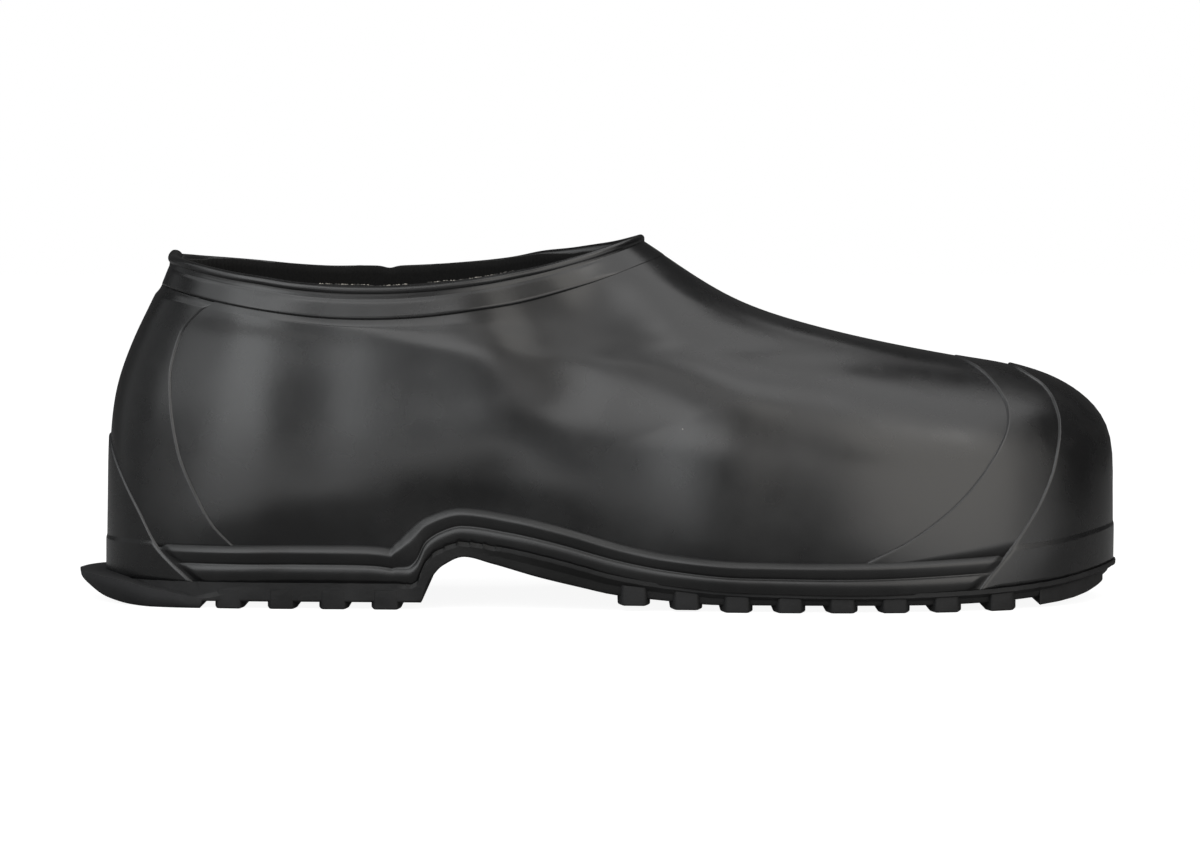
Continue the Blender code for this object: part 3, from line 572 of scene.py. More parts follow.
def rubber(name, dark=BLACK, pale=GREYED, gloss=(0.23, 0.33), bump=0.04, ripple=RIPPLE_SCALE,
           wear_and_sheen=False, shine=0.5):
    """Black rubber: bloom steers colour and roughness, grain the bump; lint and greyed places lie on top,
    from rubbing and, on the lugs, a painted sheen.
    """
    made, tree, shader = new_material(name)
    cloud = add(tree, "ShaderNodeGroup", {"Scale": BLOOM_SCALE}, node_tree=BLOOM).outputs["Cloud"]
    speck = add(tree, "ShaderNodeGroup", {"Share": LINT_SHARE}, node_tree=LINT).outputs["Speck"]
    grain = add(tree, "ShaderNodeGroup", {"Ripple": ripple}, node_tree=GRAIN).outputs["Height"]
    colour = blend_colour(tree, cloud, dark, pale)
    dull = add(tree, "ShaderNodeMapRange", {"Value": cloud, "To Min": gloss[0], "To Max": gloss[1]})
    rough = dull.outputs["Result"]
    # This grey is rubbed wear, and on the lugs a painted sheen.
    if wear_and_sheen:
        edge = add(tree, "ShaderNodeAttribute", attribute_name=WEAR_AND_SHEEN_NAME).outputs["Fac"]
        wear_and_sheen_mask = calc(tree, "MULTIPLY", edge, ramp(tree, cloud, *WEAR_AND_SHEEN_CLOUD))
        colour = blend_colour(tree, wear_and_sheen_mask, colour, WEAR_AND_SHEEN_GREY)
        rough = calc(tree, "ADD", rough, calc(tree, "MULTIPLY", wear_and_sheen_mask, WEAR_AND_SHEEN_DULL))
    dress(tree, shader, {"Base Color": blend_colour(tree, speck, colour, LINT_GREY), "Roughness": rough,
                         "Specular IOR Level": shine, "Normal": bump_by(tree, grain, bump, GRAIN_DEPTH)})
    return made


SKIN_RUBBER = rubber("skin_rubber")
LAYER_RUBBER = rubber("layer_rubber", wear_and_sheen=True)
STRIP_RUBBER = rubber("strip_rubber", gloss=(0.32, 0.42), bump=0.05)
TREAD_RUBBER = rubber("tread_rubber", dark=grey(0.0045), pale=grey(0.010), gloss=(0.46, 0.62), bump=0.16,
                      ripple=220.0, wear_and_sheen=True, shine=0.2)
print("rubbers:", [m.name for m in (SKIN_RUBBER, LAYER_RUBBER, STRIP_RUBBER, TREAD_RUBBER)])

# %% [markdown]
# ## Knit and thread
# The lining is a knitted cloth: no gloss at all, a little sheen from its loose fibres, and a fine rib in
# its bump. Loops of its undyed thread show at the cut edge.

# %% Knit and thread
KNIT_DARK, KNIT_PALE = (0.003, 0.003, 0.0031, 1.0), (0.008, 0.0078, 0.0076, 1.0)
THREAD_DARK, THREAD_PALE = (0.03, 0.029, 0.027, 1.0), (0.30, 0.28, 0.25, 1.0)


def knit(name):
    """Knitted lining: ribs from a wave, fuzz from noise, with sheen and no gloss."""
    made, tree, shader = new_material(name)
    where = object_place(tree)
    weave = {"Vector": where, "Scale": 260.0, "Distortion": 2.0, "Detail": 2.0}
    ribs = add(tree, "ShaderNodeTexWave", weave, bands_direction="X").outputs["Fac"]
    fuzz = noise(tree, where, 1500.0, 3.0)
    dress(tree, shader, {"Base Color": blend_colour(tree, fuzz, KNIT_DARK, KNIT_PALE), "Roughness": 0.95,
                         "Specular IOR Level": 0.15, "Sheen Weight": 0.05,
                         "Normal": bump_by(tree, calc(tree, "ADD", ribs, fuzz), 0.25, 0.0004)})
    return made


def pale_thread(name):
    """Undyed thread: uneven beige with fibres in its bump."""
    made, tree, shader = new_material(name)
    where = object_place(tree)
    patch = ramp(tree, noise(tree, where, 420.0, 2.0), 0.4, 0.62)
    colour = blend_colour(tree, patch, THREAD_DARK, THREAD_PALE)
    fibre = noise(tree, where, 6000.0, 2.0)
    dress(tree, shader, {"Base Color": colour, "Roughness": 0.9,
                         "Normal": bump_by(tree, fibre, 0.4, 0.0002)})
    return made


LINING_KNIT = knit("lining_knit")
THREAD = pale_thread("pale_thread")
print("cloth:", LINING_KNIT.name, THREAD.name)

# %% [markdown]
# ## The upper
# The upper is one sheet of rubber a little over two millimetres thick. Its profile goes up the outer
# face, over the edge and down the inner face, and is carried once round the shoe.

# %% Upper shell
UPPER_COLUMNS = 420
OUTER_ROWS, INNER_ROWS = 124, 40
SUNK = 0.6

t = whole_round(UPPER_COLUMNS)
outer = skin(t, np.linspace(0, TOP_V, OUTER_ROWS)[:, None], 0.0)
inner = skin(t, np.linspace(TOP_V, 0, INNER_ROWS)[:, None], -WALL)
foot = np.stack((inner[-1], outer[0])) - (0, 0, SUNK)
grid = np.concatenate((outer, inner, foot))
settle(make_mesh("upper_shell", *wrapped(grid), SKIN_RUBBER), "upper_rubber", "upper")

# %% [markdown]
# ## Layers at the heel and the toe
# The counter and guard at the heel and the panel and cap at the toe are thicker sheets. Their edges are
# lines measured in side view, height by height. A layer's grid starts on its edge, so that the small
# rounded step there gets many fine rows, and its thickness falls to nothing on the edge as a quarter
# of an ellipse.

# %% Edge lines
COUNTER_LINE = {
    "z": (16, 20.3, 25.4, 32.6, 47.7, 62.2, 69.8, 82.0, 89.6, 92.3, 94.0),
    "x": (-107, -111.8, -116.7, -121.0, -127.5, -129.9, -130.2, -127.4, -121.1, -116.1, -110.0),
}
GUARD_LINE = {
    "z": (6.0, 8.4, 14.0, 19.3, 28.4, 38.1, 47.3, 52.6),
    "x": (-120.5, -123.1, -129.4, -134.4, -139.4, -145.0, -149.7, -151.6),
}
PANEL_LINE = {
    "z": (12.0, 16.0, 21.9, 31.1, 38.8, 44.3, 48.8, 52.7, 55.2, 57.8, 60.4, 64.6, 68.7, 72.1, 75.2),
    "x": (72.0, 80.7, 92.7, 105.4, 113.1, 117.3, 120.3, 122.4, 123.3, 123.75, 123.6, 121.9, 119.2, 115.4,
          110.5),
}
CAP_LINE = {
    "z": (6.0, 9.1, 17.4, 27.8, 34.3, 43.3, 55.7, 61.7, 65.8, 69.0, 71.95),
    "x": (112.5, 114.8, 122.0, 129.8, 133.7, 137.4, 139.7, 138.5, 136.0, 131.6, 127.0),
}
HEEL, TOE = 0.0, 0.5
SIDE_SCAN, APEX_SCAN = 900, 2400
APEX_CLEAR = 0.0004


def crossing(line, v, side, start):
    """t where a line crosses the heights v on one side, searched from the heel or the toe."""
    scan = np.linspace(start, HEEL + TOE - start, SIDE_SCAN)
    if side > 0:
        scan = 1 - scan
    points = surface(scan[None, :], np.asarray(v)[:, None])
    ahead = points[..., 0] - curve(line["z"], line["x"], points[..., 2])
    if start == HEEL:
        ahead = -ahead
    first = np.argmax(ahead < 0, axis=1)
    row = np.arange(len(first))
    before = np.maximum(first - 1, 0)
    share = ahead[row, before] / np.where(first > 0, ahead[row, before] - ahead[row, first], 1)
    found = scan[before] + (scan[first] - scan[before]) * np.where(first > 0, share, 0)
    return found - 1 if side > 0 and start == HEEL else found


def apex(line, start):
    """v where a line crosses the middle of the heel or the toe."""
    v = np.linspace(FOXING_V, BAND_V, APEX_SCAN)
    points = surface(np.full_like(v, start), v)
    ahead = points[:, 0] - curve(line["z"], line["x"], points[:, 2])
    return v[np.argmax((-ahead if start == HEEL else ahead) < 0)]


def arch(line, start, low_v, high_v, count):
    """Edge from low on one side over the middle to the other, as t and v, with one point at the middle."""
    v = low_v + (high_v - low_v) * np.sin(np.linspace(0, 0.5 * np.pi, count))[:-1]
    outer_t, inner_t = crossing(line, v, -1, start), crossing(line, v, 1, start)
    clear = np.minimum(np.abs(outer_t - start), np.abs(inner_t - start)) > APEX_CLEAR
    v, outer_t, inner_t = v[clear], outer_t[clear], inner_t[clear]
    first, last = (inner_t, outer_t) if start == HEEL else (outer_t, inner_t)
    return np.concatenate((first, [start], last[::-1])), np.concatenate((v, [high_v], v[::-1]))


GUARD_TOP, CAP_TOP, PANEL_TOP = apex(GUARD_LINE, HEEL), apex(CAP_LINE, TOE), apex(PANEL_LINE, TOE)
print("apexes up the wall: guard %.1f, cap %.1f, panel %.1f mm" % (GUARD_TOP, CAP_TOP, PANEL_TOP))

# %% [markdown]
# ## One layer
# Every layer is made alike: a grid that starts on the edge, a height that rises from the edge, and a back
# that lies a little inside the wall, so that no gap shows. Wear is strongest right on the edge.

# %% Layer helper
LAYER_SINK = 0.25
LAYER_BACK = 0.45
LAYER_ROWS = 34
ROW_CROWDING = 4.4
EDGE_ROUND = 0.75
EDGE_POINTS = 130
EDGE_FINE = 6
WORN_WIDTH = 0.45
EXTRA_FROM_EDGE = (0.3, 1.3)
TINY = 1e-6


def crowded(rows):
    """Shares from 0 to 1 that crowd together near 0: (e^(ck) - 1) / (e^c - 1)."""
    k = np.linspace(0, 1, rows)[:, None]
    return np.expm1(ROW_CROWDING * k) / np.expm1(ROW_CROWDING)


def dense(edge):
    """An edge (t, v) with many more points, by straight interpolation."""
    count = len(edge[0])
    at = np.linspace(0, count - 1, EDGE_FINE * count)
    return [np.interp(at, np.arange(count), line) for line in edge]


def edge_gap(points, line):
    """Distance of each grid point from the nearest point of an edge line, row by row."""
    rows = [np.linalg.norm(row[:, None, :] - line[None, :, :], axis=-1).min(axis=1) for row in points]
    return np.stack(rows)


def rounded(gap, size):
    """Quarter ellipse: sqrt(1 - (1 - gap / size)^2), level beyond `size`."""
    return np.sqrt(1 - (1 - np.clip(gap / size, 0, 1)) ** 2)


def under_edge(edge, low_v, breaks=()):
    """Grid (t, v) from an edge straight down to low_v; its rows crowd at the edge and below each break."""
    edge_t, edge_v = edge
    low_t = np.linspace(edge_t[0], edge_t[-1], len(edge_t))
    stops = [edge_v] + [np.minimum(edge_v, level) for level in breaks] + [np.full_like(edge_v, low_v)]
    share = crowded(LAYER_ROWS)
    v = np.concatenate([high * (1 - share) + low * share for high, low in zip(stops[:-1], stops[1:])])
    fall = (edge_v - v) / np.maximum(edge_v - low_v, TINY)
    return edge_t * (1 - fall) + low_t * fall, v


def sunk(points, v):
    """Points whose lowest row (v = 0) goes down into the sole."""
    return points - np.where(v <= 0, SUNK, 0.0)[..., None] * (0, 0, 1)


def sheet(t, v, out):
    """Points and faces of a closed sheet whose face stands `out` millimetres off the wall."""
    return shell(sunk(skin(t, v, out), v), sunk(skin(t, v, -LAYER_BACK), v))


def layer_piece(name, grid, edge, thick, node, extra=0.0):
    """Closed layer over a grid (t, v): height = thickness times the quarter ellipse of the edge gap."""
    gap = edge_gap(surface(*grid), surface(*dense(edge)))
    out = -LAYER_SINK + (thick + LAYER_SINK) * rounded(gap, EDGE_ROUND)
    out = out + extra * smooth_step(*EXTRA_FROM_EDGE, gap)
    wear_and_sheen = np.tile(np.exp(-(gap / WORN_WIDTH) ** 2).ravel(), 2)
    return settle(make_mesh(name, *sheet(*grid, out), LAYER_RUBBER, wear_and_sheen=wear_and_sheen), "upper_rubber", node)


print("layer helper ready")

# %% [markdown]
# ## Guard and cap
# The thick guard at the back and the cap at the tip take the knocks. The top line of the ribbed strip
# runs on round both as a faint step, so their low part stands a little proud.

# %% Heel guard and toe cap
GUARD_FACE = 1.2
RIM_STEP = 0.3
RIM_SOFT = 0.9

for name, line, start, top_v, node in (("guard_layer", GUARD_LINE, HEEL, GUARD_TOP, "heel_guard"),
                                       ("cap_layer", CAP_LINE, TOE, CAP_TOP, "toe_cap")):
    edge = arch(line, start, 0.0, top_v, EDGE_POINTS)
    grid = under_edge(edge, 0.0, (FOXING_V + RIM_SOFT, FOXING_V - RIM_SOFT))
    step = RIM_STEP * smooth_step(FOXING_V + RIM_SOFT, FOXING_V - RIM_SOFT, grid[1])
    layer_piece(name, grid, edge, GUARD_FACE, node, step)

# %% [markdown]
# ## Counter and panel
# The thinner layers lie under the guard and the cap, and slip a little way under the ribbed strip and,
# at the back, under the collar band. The counter's edge dies away just below the band. Its grid runs in
# level rows from edge to edge, because its line leans back and then forward again.

# %% Heel counter and toe panel
PANEL_FACE = 0.6
TUCK = 1.4
COUNTER_ROWS, COUNTER_COLUMNS = 80, 170
COUNTER_CROWDING = 3.2
COUNTER_FADE = (0.3, 9.0)
COUNTER_LAP, COUNTER_LEAST = 0.8, 0.02
PANEL_FADE, PANEL_TUCK, PANEL_BREAK, PANEL_THINNING = 9.0, 3.4, 25.0, 0.6

v = np.linspace(FOXING_V - TUCK, BAND_V + COUNTER_LAP, COUNTER_ROWS)
sides = [crossing(COUNTER_LINE, v, side, HEEL) for side in (1, -1)]
spread = np.tanh(COUNTER_CROWDING * np.linspace(-1, 1, COUNTER_COLUMNS)) / np.tanh(COUNTER_CROWDING)
share = 0.5 + 0.5 * spread
grid = (sides[0][:, None] * (1 - share) + sides[1][:, None] * share,
        np.broadcast_to(v[:, None], (COUNTER_ROWS, COUNTER_COLUMNS)))
edge = (np.concatenate((sides[0], sides[1][::-1])), np.concatenate((v, v[::-1])))
fading = PANEL_FACE * smooth_step(BAND_V - COUNTER_FADE[0], BAND_V - COUNTER_FADE[1], grid[1])
layer_piece("counter_layer", grid, edge, np.maximum(fading, COUNTER_LEAST), "heel_counter")
edge = arch(PANEL_LINE, TOE, FOXING_V - PANEL_TUCK, PANEL_TOP, EDGE_POINTS)
grid = under_edge(edge, FOXING_V - PANEL_TUCK, (PANEL_TOP - PANEL_BREAK,))
thinning = PANEL_FACE * (1 - PANEL_THINNING * smooth_step(PANEL_TOP - PANEL_FADE, PANEL_TOP, grid[1]))
layer_piece("panel_layer", grid, edge, thinning, "toe_panel")

# %% [markdown]
# ## Ribbed strip
# A strip with two rounded ribs, the foxing, covers the joint of sole and upper along each side. Its
# profile is two leaning half ellipses on a low base. It is narrower ahead of the heel, and its groove
# dips where the strip turns the corner at the arch. The ribs die away just before the guard and the cap.

# %% Foxing
RIB_SPLIT, RIB_CUT = 0.47, 0.17
RIB_HEIGHT = 1.3
RIB_LEAN = 1.6
STRIP_BASE = 0.9
STRIP_ROWS, STRIP_COLUMNS = 40, 420
RIB_END = 4.5
TOP_LINE = {
    "x": (-180, -76, -67, -63, -60.5, -58, -55.5, -53, -50, -44, -40, -20, 0, 20, 40, 120, 180),
    "share": (1.0, 1.0, 0.98, 0.93, 0.86, 0.865, 0.89, 0.88, 0.85, 0.83, 0.83, 0.88, 0.87, 0.84, 0.84,
              0.88, 0.88),
}
GROOVE_LINE = {
    "x": (-180, -72, -64, -57.5, -52, -36, -10, 20, 180),
    "share": (0.47, 0.47, 0.44, 0.28, 0.38, 0.40, 0.44, 0.47, 0.47),
}
RIB_TOP_SOFT = 0.8


def strip_profile(share):
    """Base that sinks at the top edge, and two ribs: half ellipses sqrt(1 - (2 p^lean - 1)^2)."""
    low = RIB_CUT + (1 - RIB_CUT) * share / RIB_SPLIT
    place = np.where(share < RIB_SPLIT, low, (share - RIB_SPLIT) / (1 - RIB_SPLIT))
    rib = np.sqrt(np.clip(1 - (2 * place ** RIB_LEAN - 1) ** 2, 0, 1))
    base = -LAYER_SINK + (STRIP_BASE + LAYER_SINK) * smooth_step(1.0, RIB_TOP_SOFT, share)
    return base, RIB_HEIGHT * rib


def strip_rows(share, x):
    """Height of a row up the wall: its share of the strip, stretched between foot, groove and top line."""
    top = FOXING_V * curve(TOP_LINE["x"], TOP_LINE["share"], x)
    groove = curve(GROOVE_LINE["x"], GROOVE_LINE["share"], x)
    low = groove * share / RIB_SPLIT
    high = groove + (1 - groove) * (share - RIB_SPLIT) / (1 - RIB_SPLIT)
    return top * np.where(share < RIB_SPLIT, low, high)


share = np.linspace(0, 1, STRIP_ROWS)
base, rib = strip_profile(share)
heights = share * FOXING_V
per_mm = 1 / PERIMETER
for name, side in (("outer", -1), ("inner", 1)):
    heel_t = crossing(GUARD_LINE, heights, side, HEEL) + (1 if side > 0 else 0)
    toe_t = crossing(CAP_LINE, heights, side, TOE)
    low, high = (heel_t, toe_t) if side < 0 else (toe_t, heel_t)
    along = np.linspace(0, 1, STRIP_COLUMNS)[None, :]
    t = (low - TUCK * per_mm)[:, None] * (1 - along) + (high + TUCK * per_mm)[:, None] * along
    v = strip_rows(share[:, None], surface(t, heights[:, None])[..., 0])
    to_end = np.minimum(t - low[:, None], high[:, None] - t) / per_mm
    out = base[:, None] + rib[:, None] * smooth_step(0.0, RIB_END, to_end)
    strip = make_mesh("foxing_strip_" + name, *sheet(t, v, out), STRIP_RUBBER)
    settle(strip, "upper_rubber", "foxing_" + name)

# %% [markdown]
# ## Collar band
# A band with a rolled bead stiffens the opening. Its section is one closed line: a small step at the
# bottom, a flat face, a groove, and an ellipse over the upper's edge. The rim of a moulded overshoe is
# trimmed by hand, so it is a little wavy. The band's low edge dies away at the heel and at the front.

# %% Band and bead
BAND_FACE = 0.95
BEAD_HALF, BEAD_RISE, BEAD_OUT, BEAD_UP = 2.0, 1.5, -0.5, 0.25
BEAD_FROM, BEAD_POINTS = -0.33 * np.pi, 24
FACE_FROM, FACE_TO, FACE_POINTS = 0.9, 3.6, 8
HOOK_DOWN, HOOK_PAST = 0.8, 0.1
GROOVE = ((-3.2, 0.93), (-2.9, 0.88), (-2.6, 0.74), (-2.3, 0.64), (-2.05, 0.67), (-1.8, 0.82))
BAND_FOOT = ((0.2, -LAYER_SINK), (0.2, 0.3), (0.32, 0.6), (0.55, 0.82), (0.85, 0.93))
BAND_COLUMNS = 620
BAND_LEFT = 0.12
HEEL_FADE, FRONT_FADE = (0.008, 0.04), (0.06, 0.12)
LIFT_FROM, FADE_FROM = 3.0, 1.0
COLLAR_ROUND = 320
RIM_WAVE = Wave(0.16, 1.0, 95.0)
BUMP_REACH = (0, 8)
RimBump = namedtuple("RimBump", "name side x width height")
RIM_BUMPS = (
    RimBump("nub at the heel", 0, -132.6, 4.5, 1.2),
    RimBump("high back", 1, -112, 16, 0.7),
    RimBump("nick", 1, -67, 2.2, -0.7),
    RimBump("trimmed wave", 1, -17, 8, 0.8),
    RimBump("low front", 1, 4, 8, -0.5),
)


def rim_up(t):
    """Direction of the wall at the collar's edge."""
    return unit(surface(t, TOP_V) - surface(t, TOP_V - 1.0))


def rim_height(t):
    """Uneven height of the trimmed rim: a slow wave plus bumps, each height times exp(-(gap / width)^2)."""
    place = surface(t, TOP_V)
    across = place[..., 1] - swing(place[..., 0])
    height = uneven(t * COLLAR_ROUND, RIM_WAVE)
    for bump in RIM_BUMPS:
        beside = place[..., 0] - bump.x
        gap = np.hypot(beside, across) if bump.side == 0 else beside
        reach = smooth_step(*BUMP_REACH, bump.side * across) if bump.side else 1.0
        height = height + bump.height * reach * np.exp(-(gap / bump.width) ** 2)
    return height


turn = np.linspace(BEAD_FROM, np.pi, BEAD_POINTS)
section = np.array(
    [(BAND_V + up, out, 0) for up, out in BAND_FOOT]
    + [(v, BAND_FACE, 0) for v in np.linspace(BAND_V + FACE_FROM, TOP_V - FACE_TO, FACE_POINTS)]
    + [(TOP_V + up, out, 0) for up, out in GROOVE]
    + [(TOP_V, BEAD_OUT + BEAD_HALF * np.cos(a), BEAD_UP + BEAD_RISE * np.sin(a)) for a in turn]
    + [(TOP_V - HOOK_DOWN, out, 0) for out in (-WALL - HOOK_PAST, -WALL / 2)])
t = whole_round(BAND_COLUMNS)
v, out, lift = (column[:, None] for column in section.T)
raised = lift + smooth_step(TOP_V - LIFT_FROM, TOP_V, v) * rim_height(t)
shown = smooth_step(*HEEL_FADE, np.minimum(t, 1 - t)) * smooth_step(*FRONT_FADE, np.abs(t - TOE))
fades = (v < TOP_V - FADE_FROM) & (out > BAND_LEFT)
faded = np.where(fades, BAND_LEFT + (out - BAND_LEFT) * shown, out)
band = skin(t, np.broadcast_to(v, raised.shape), faded) + rim_up(t) * raised[..., None]
settle(make_mesh("beaded_band", *wrapped(band), LAYER_RUBBER), "upper_rubber", "collar_band")
print("collar: bead %.1f mm across, rim up to %.1f mm past the edge" % (2 * BEAD_HALF, raised.max()))

# %% [markdown]
# ## Lining
# A black knit lines the inside. It is cut off by hand at the collar, so its edge rises and falls, and
# along the near side it peeks over the bead, with pale loops of its thread showing. A second piece of
# the same cloth lies on the footbed.

# %% Wall lining
LINING_OUT, LINING_THICK = -WALL - 0.2, 0.8
LINING_ROWS, LINING_COLUMNS = 60, 420
LINING_LOW = 1.5
LINING_TOP, LINING_FAR, LINING_PEEK = 0.9, 1.2, 1.35
NEAR_RISE, NEAR_FALL = (0.13, 0.2), (0.47, 0.42)
FAR_RISE, FAR_FALL = (0.56, 0.66), (0.98, 0.9)
LINING_WAVE, LINING_FUZZ = Wave(0.22, 2.0, 31.0), Wave(0.06, 3.0, 5.0)
FUZZ_SLANT = 0.7


def lining_edge(t):
    """How far the lining stands past the collar's edge: level, higher along the near side, uneven."""
    near = smooth_step(*NEAR_RISE, t) * smooth_step(*NEAR_FALL, t)
    far = smooth_step(*FAR_RISE, t) * smooth_step(*FAR_FALL, t)
    level = LINING_TOP + LINING_PEEK * near + LINING_FAR * far
    return level + uneven(t * COLLAR_ROUND, LINING_WAVE) + rim_height(t)


def inside(t, v, out):
    """Points off the wall's inner face; past the collar's edge they go straight on up."""
    past = np.maximum(v - TOP_V, 0)
    return skin(t, np.minimum(v, TOP_V), out) + rim_up(np.broadcast_to(t, v.shape)) * past[..., None]


t = whole_round(LINING_COLUMNS)
v = LINING_LOW + (TOP_V + lining_edge(t) - LINING_LOW) * np.linspace(0, 1, LINING_ROWS)[:, None]
fuzz = uneven(t * COLLAR_ROUND + v * FUZZ_SLANT, LINING_FUZZ)
ring = np.concatenate((inside(t, v, LINING_OUT), inside(t, v, LINING_OUT - LINING_THICK + fuzz)[::-1]))
settle(make_mesh("knit_lining", *wrapped(ring), LINING_KNIT), "upper_rubber")

# %% [markdown]
# ## Thread loops
# Where the knit was cut, loops of its pale thread stand up in an uneven row. Each is a small ball drawn
# out along the edge, and a slow wave leaves gaps in the row.

# %% Thread loops
LOOPS_SHOWN = 96
LOOP_FROM, LOOP_TO = -92.0, 2.0
LOOP_SIZE = np.array((0.42, 0.24, 0.24))
LOOP_ROUND = (6, 8)
LOOP_DRIFT, DRIFT_RUN = Wave(0.35, 6.0, 7.0), 300
LOOP_GAPS, GAP_BELOW = Wave(1.0, 7.0, 46.0), -0.35
LOOP_SPREAD = Wave(0.35, 8.0, 3.0)
LOOP_LIFT = 0.02

place = np.linspace(0, 1, LOOPS_SHOWN)
x = LOOP_FROM + (LOOP_TO - LOOP_FROM) * place + uneven(place * DRIFT_RUN, LOOP_DRIFT)
t = at_x(LOOPS[-1], x, -1)[uneven(x, LOOP_GAPS) > GAP_BELOW]
centre = inside(t, TOP_V + lining_edge(t) + LOOP_LIFT, LINING_OUT - 0.5 * LINING_THICK)
axes = np.stack((unit(along_wall(t, TOP_V)), rim_up(t), normals(t, np.full_like(t, TOP_V))), axis=1)
lat = np.linspace(0, np.pi, LOOP_ROUND[0])[:, None]
lon = np.linspace(0, 2 * np.pi, LOOP_ROUND[1], endpoint=False)[None, :]
ball = np.stack((np.cos(lat) + 0 * lon, np.sin(lat) * np.cos(lon), np.sin(lat) * np.sin(lon)), axis=-1)
size = LOOP_SIZE * (1 + uneven(t * COLLAR_ROUND, LOOP_SPREAD))[:, None]
loops = centre[:, None, None, :] + np.einsum("ijk,nk,nkl->nijl", ball, size, axes)
number = numbered(len(t) * LOOP_ROUND[0], LOOP_ROUND[1])
faces = np.concatenate([quads(one) for one in np.split(number, len(t))])
settle(make_mesh("lining_thread", loops.reshape(-1, 3), faces, THREAD), "upper_rubber")

# %% [markdown]
# ## Sole
# The sole is a thick plate with a stepped heel, an arch and a toe that springs up, a kick ledge behind
# the heel to push the overshoe off, and bars across the tread. The plate's edge is a short stack of
# rings whose corners are cut twice, which rounds them. The parting line of the mould runs along the
# top of that edge, and its flash was torn off by hand, most roughly at the arch.

# %% Sole sizes
BASE_LINE = {
    "x": (-162, -161, -159, -155, -150, -143, -136, -121.2, -120.4, -54.0, -52.6, -51.0, -47.4, -41,
          -32.6, -18.7, -4.8, 4, 18, 36, 96, 113, 132, 148, 160),
    "z": (8.0, 6.6, 4.6, 3.0, 1.6, 0.4, 0.0, 0.0, 2.2, 2.2, 6.4, 9.4, 13.4, 16.1,
          14.1, 10.1, 6.8, 4.9, 3.4, 2.1, 2.1, 2.4, 3.4, 5.4, 9.0),
}
TREAD_LINE = {
    "x": (-160, 0, 10, 26, 36, 122, 130, 141, 148, 154, 158),
    "z": (0, 0, 1.8, 0.7, 0, 0, 0.7, 1.7, 3.0, 5.2, 8.0),
}
LEDGE = {
    "along": (0, 15, 27, 37, 47, 58, 70),
    "out": (7.6, 6.9, 4.8, 2.8, 1.5, 0.2, 0.0),
    "lip": (9.6, 9.4, 8.2, 6.0, 4.2, 3.2, 2.6),
    "top": (9.4, 9.2, 8.0, 5.5, 3.6, 2.0, 2.4),
    "low": (7.0, 6.6, 4.8, 2.4, 1.0, 0.6, 1.4),
}
LEDGE_FULL, LEDGE_END, LEDGE_EDGE = 48.0, 62.0, 0.15
SOLE_EDGE, SOLE_LIP = 2.2, 1.3
SIDE_LEAN, LEAN_FROM, LEAN_TO = 2.6, -45.0, 10.0
SIDE_FACING = 0.9
EDGE_STEP_T = 0.001
SKIN_GAP = 0.15
EdgeRing = namedtuple("EdgeRing", "name ledge lean drop line")
EDGE_RINGS = (
    EdgeRing("lip", 0.0, 0.0, 0.0, "lip"),
    EdgeRing("tip", 1.0, 0.75, 0.4, "top"),
    EdgeRing("under", 0.94, 0.85, 0.7, "low"),
    EdgeRing("foot", 0.45, 1.0, 1.0, None),
)


def base_line(x):
    """Height of the tread's base, between the bars."""
    return curve(BASE_LINE["x"], BASE_LINE["z"], x)


def footbed_line(x):
    """Height of the sole's top, a little under the wall's foot."""
    return sole_line(x) - SKIN_GAP


def sole_ring(t, out):
    """The sole's edge loop moved out in plan: square to itself at the ends, sideways along the sides."""
    here = on_loop(LOOPS[0], t)
    along = on_loop(LOOPS[0], t + EDGE_STEP_T) - on_loop(LOOPS[0], t - EDGE_STEP_T)
    square = unit(np.stack((along[:, 1], -along[:, 0]), axis=1))
    side = np.abs(square[:, 1]) > SIDE_FACING
    square[side, 1] = 1 / square[side, 1]
    square[side, 0] = 0
    return here[:, :2] + square * np.broadcast_to(out, t.shape)[:, None]


print("sole sizes ready")

# %% [markdown]
# ## Edge of the plate
# The rings of the plate's edge go from the footbed out over the lip, down the side and in under the
# foot. A ring that is listed twice keeps its corner crisper. Wear greys the flash and the ledge, and
# the sides are greyed as well, but not the waist.

# %% Edge of the plate
FLASH, FLASH_UP = Wave(0.16, 4.0, 9.0), 0.5
TORN_FLASH, TORN_MEAN, TORN_WAVE = 0.8, 0.6, Wave(0.5, 2.1, 5.3)
TORN_BACK, TORN_FRONT = (-62.0, -56.0), (-26.0, -34.0)
LEDGE_SEAT, SEAT_RISE = 1.4, 0.8
FOOT_INSET = 1.2
CRISP_RINGS = ("lip", "tip")
# The bars' share of grey is a painted sheen: it stands in for the floor's reflection on their faces.
FLASH_WEAR, LEDGE_WEAR, LUG_PAINTED_SHEEN = 0.4, {"tip": 1.0, "under": 0.8, "foot": 0.6}, 0.6
# The sides of the plate are greyed, except at the waist.
SIDE_GREY, WAIST_BACK, WAIST_FRONT = 0.5, (-60.0, -50.0), (25.0, 0.0)
STATIONS, END_CLEAR = 170, 0.6
FINE_STATIONS = ((-62, -24, 110), (-122.2, -119.6, 12))

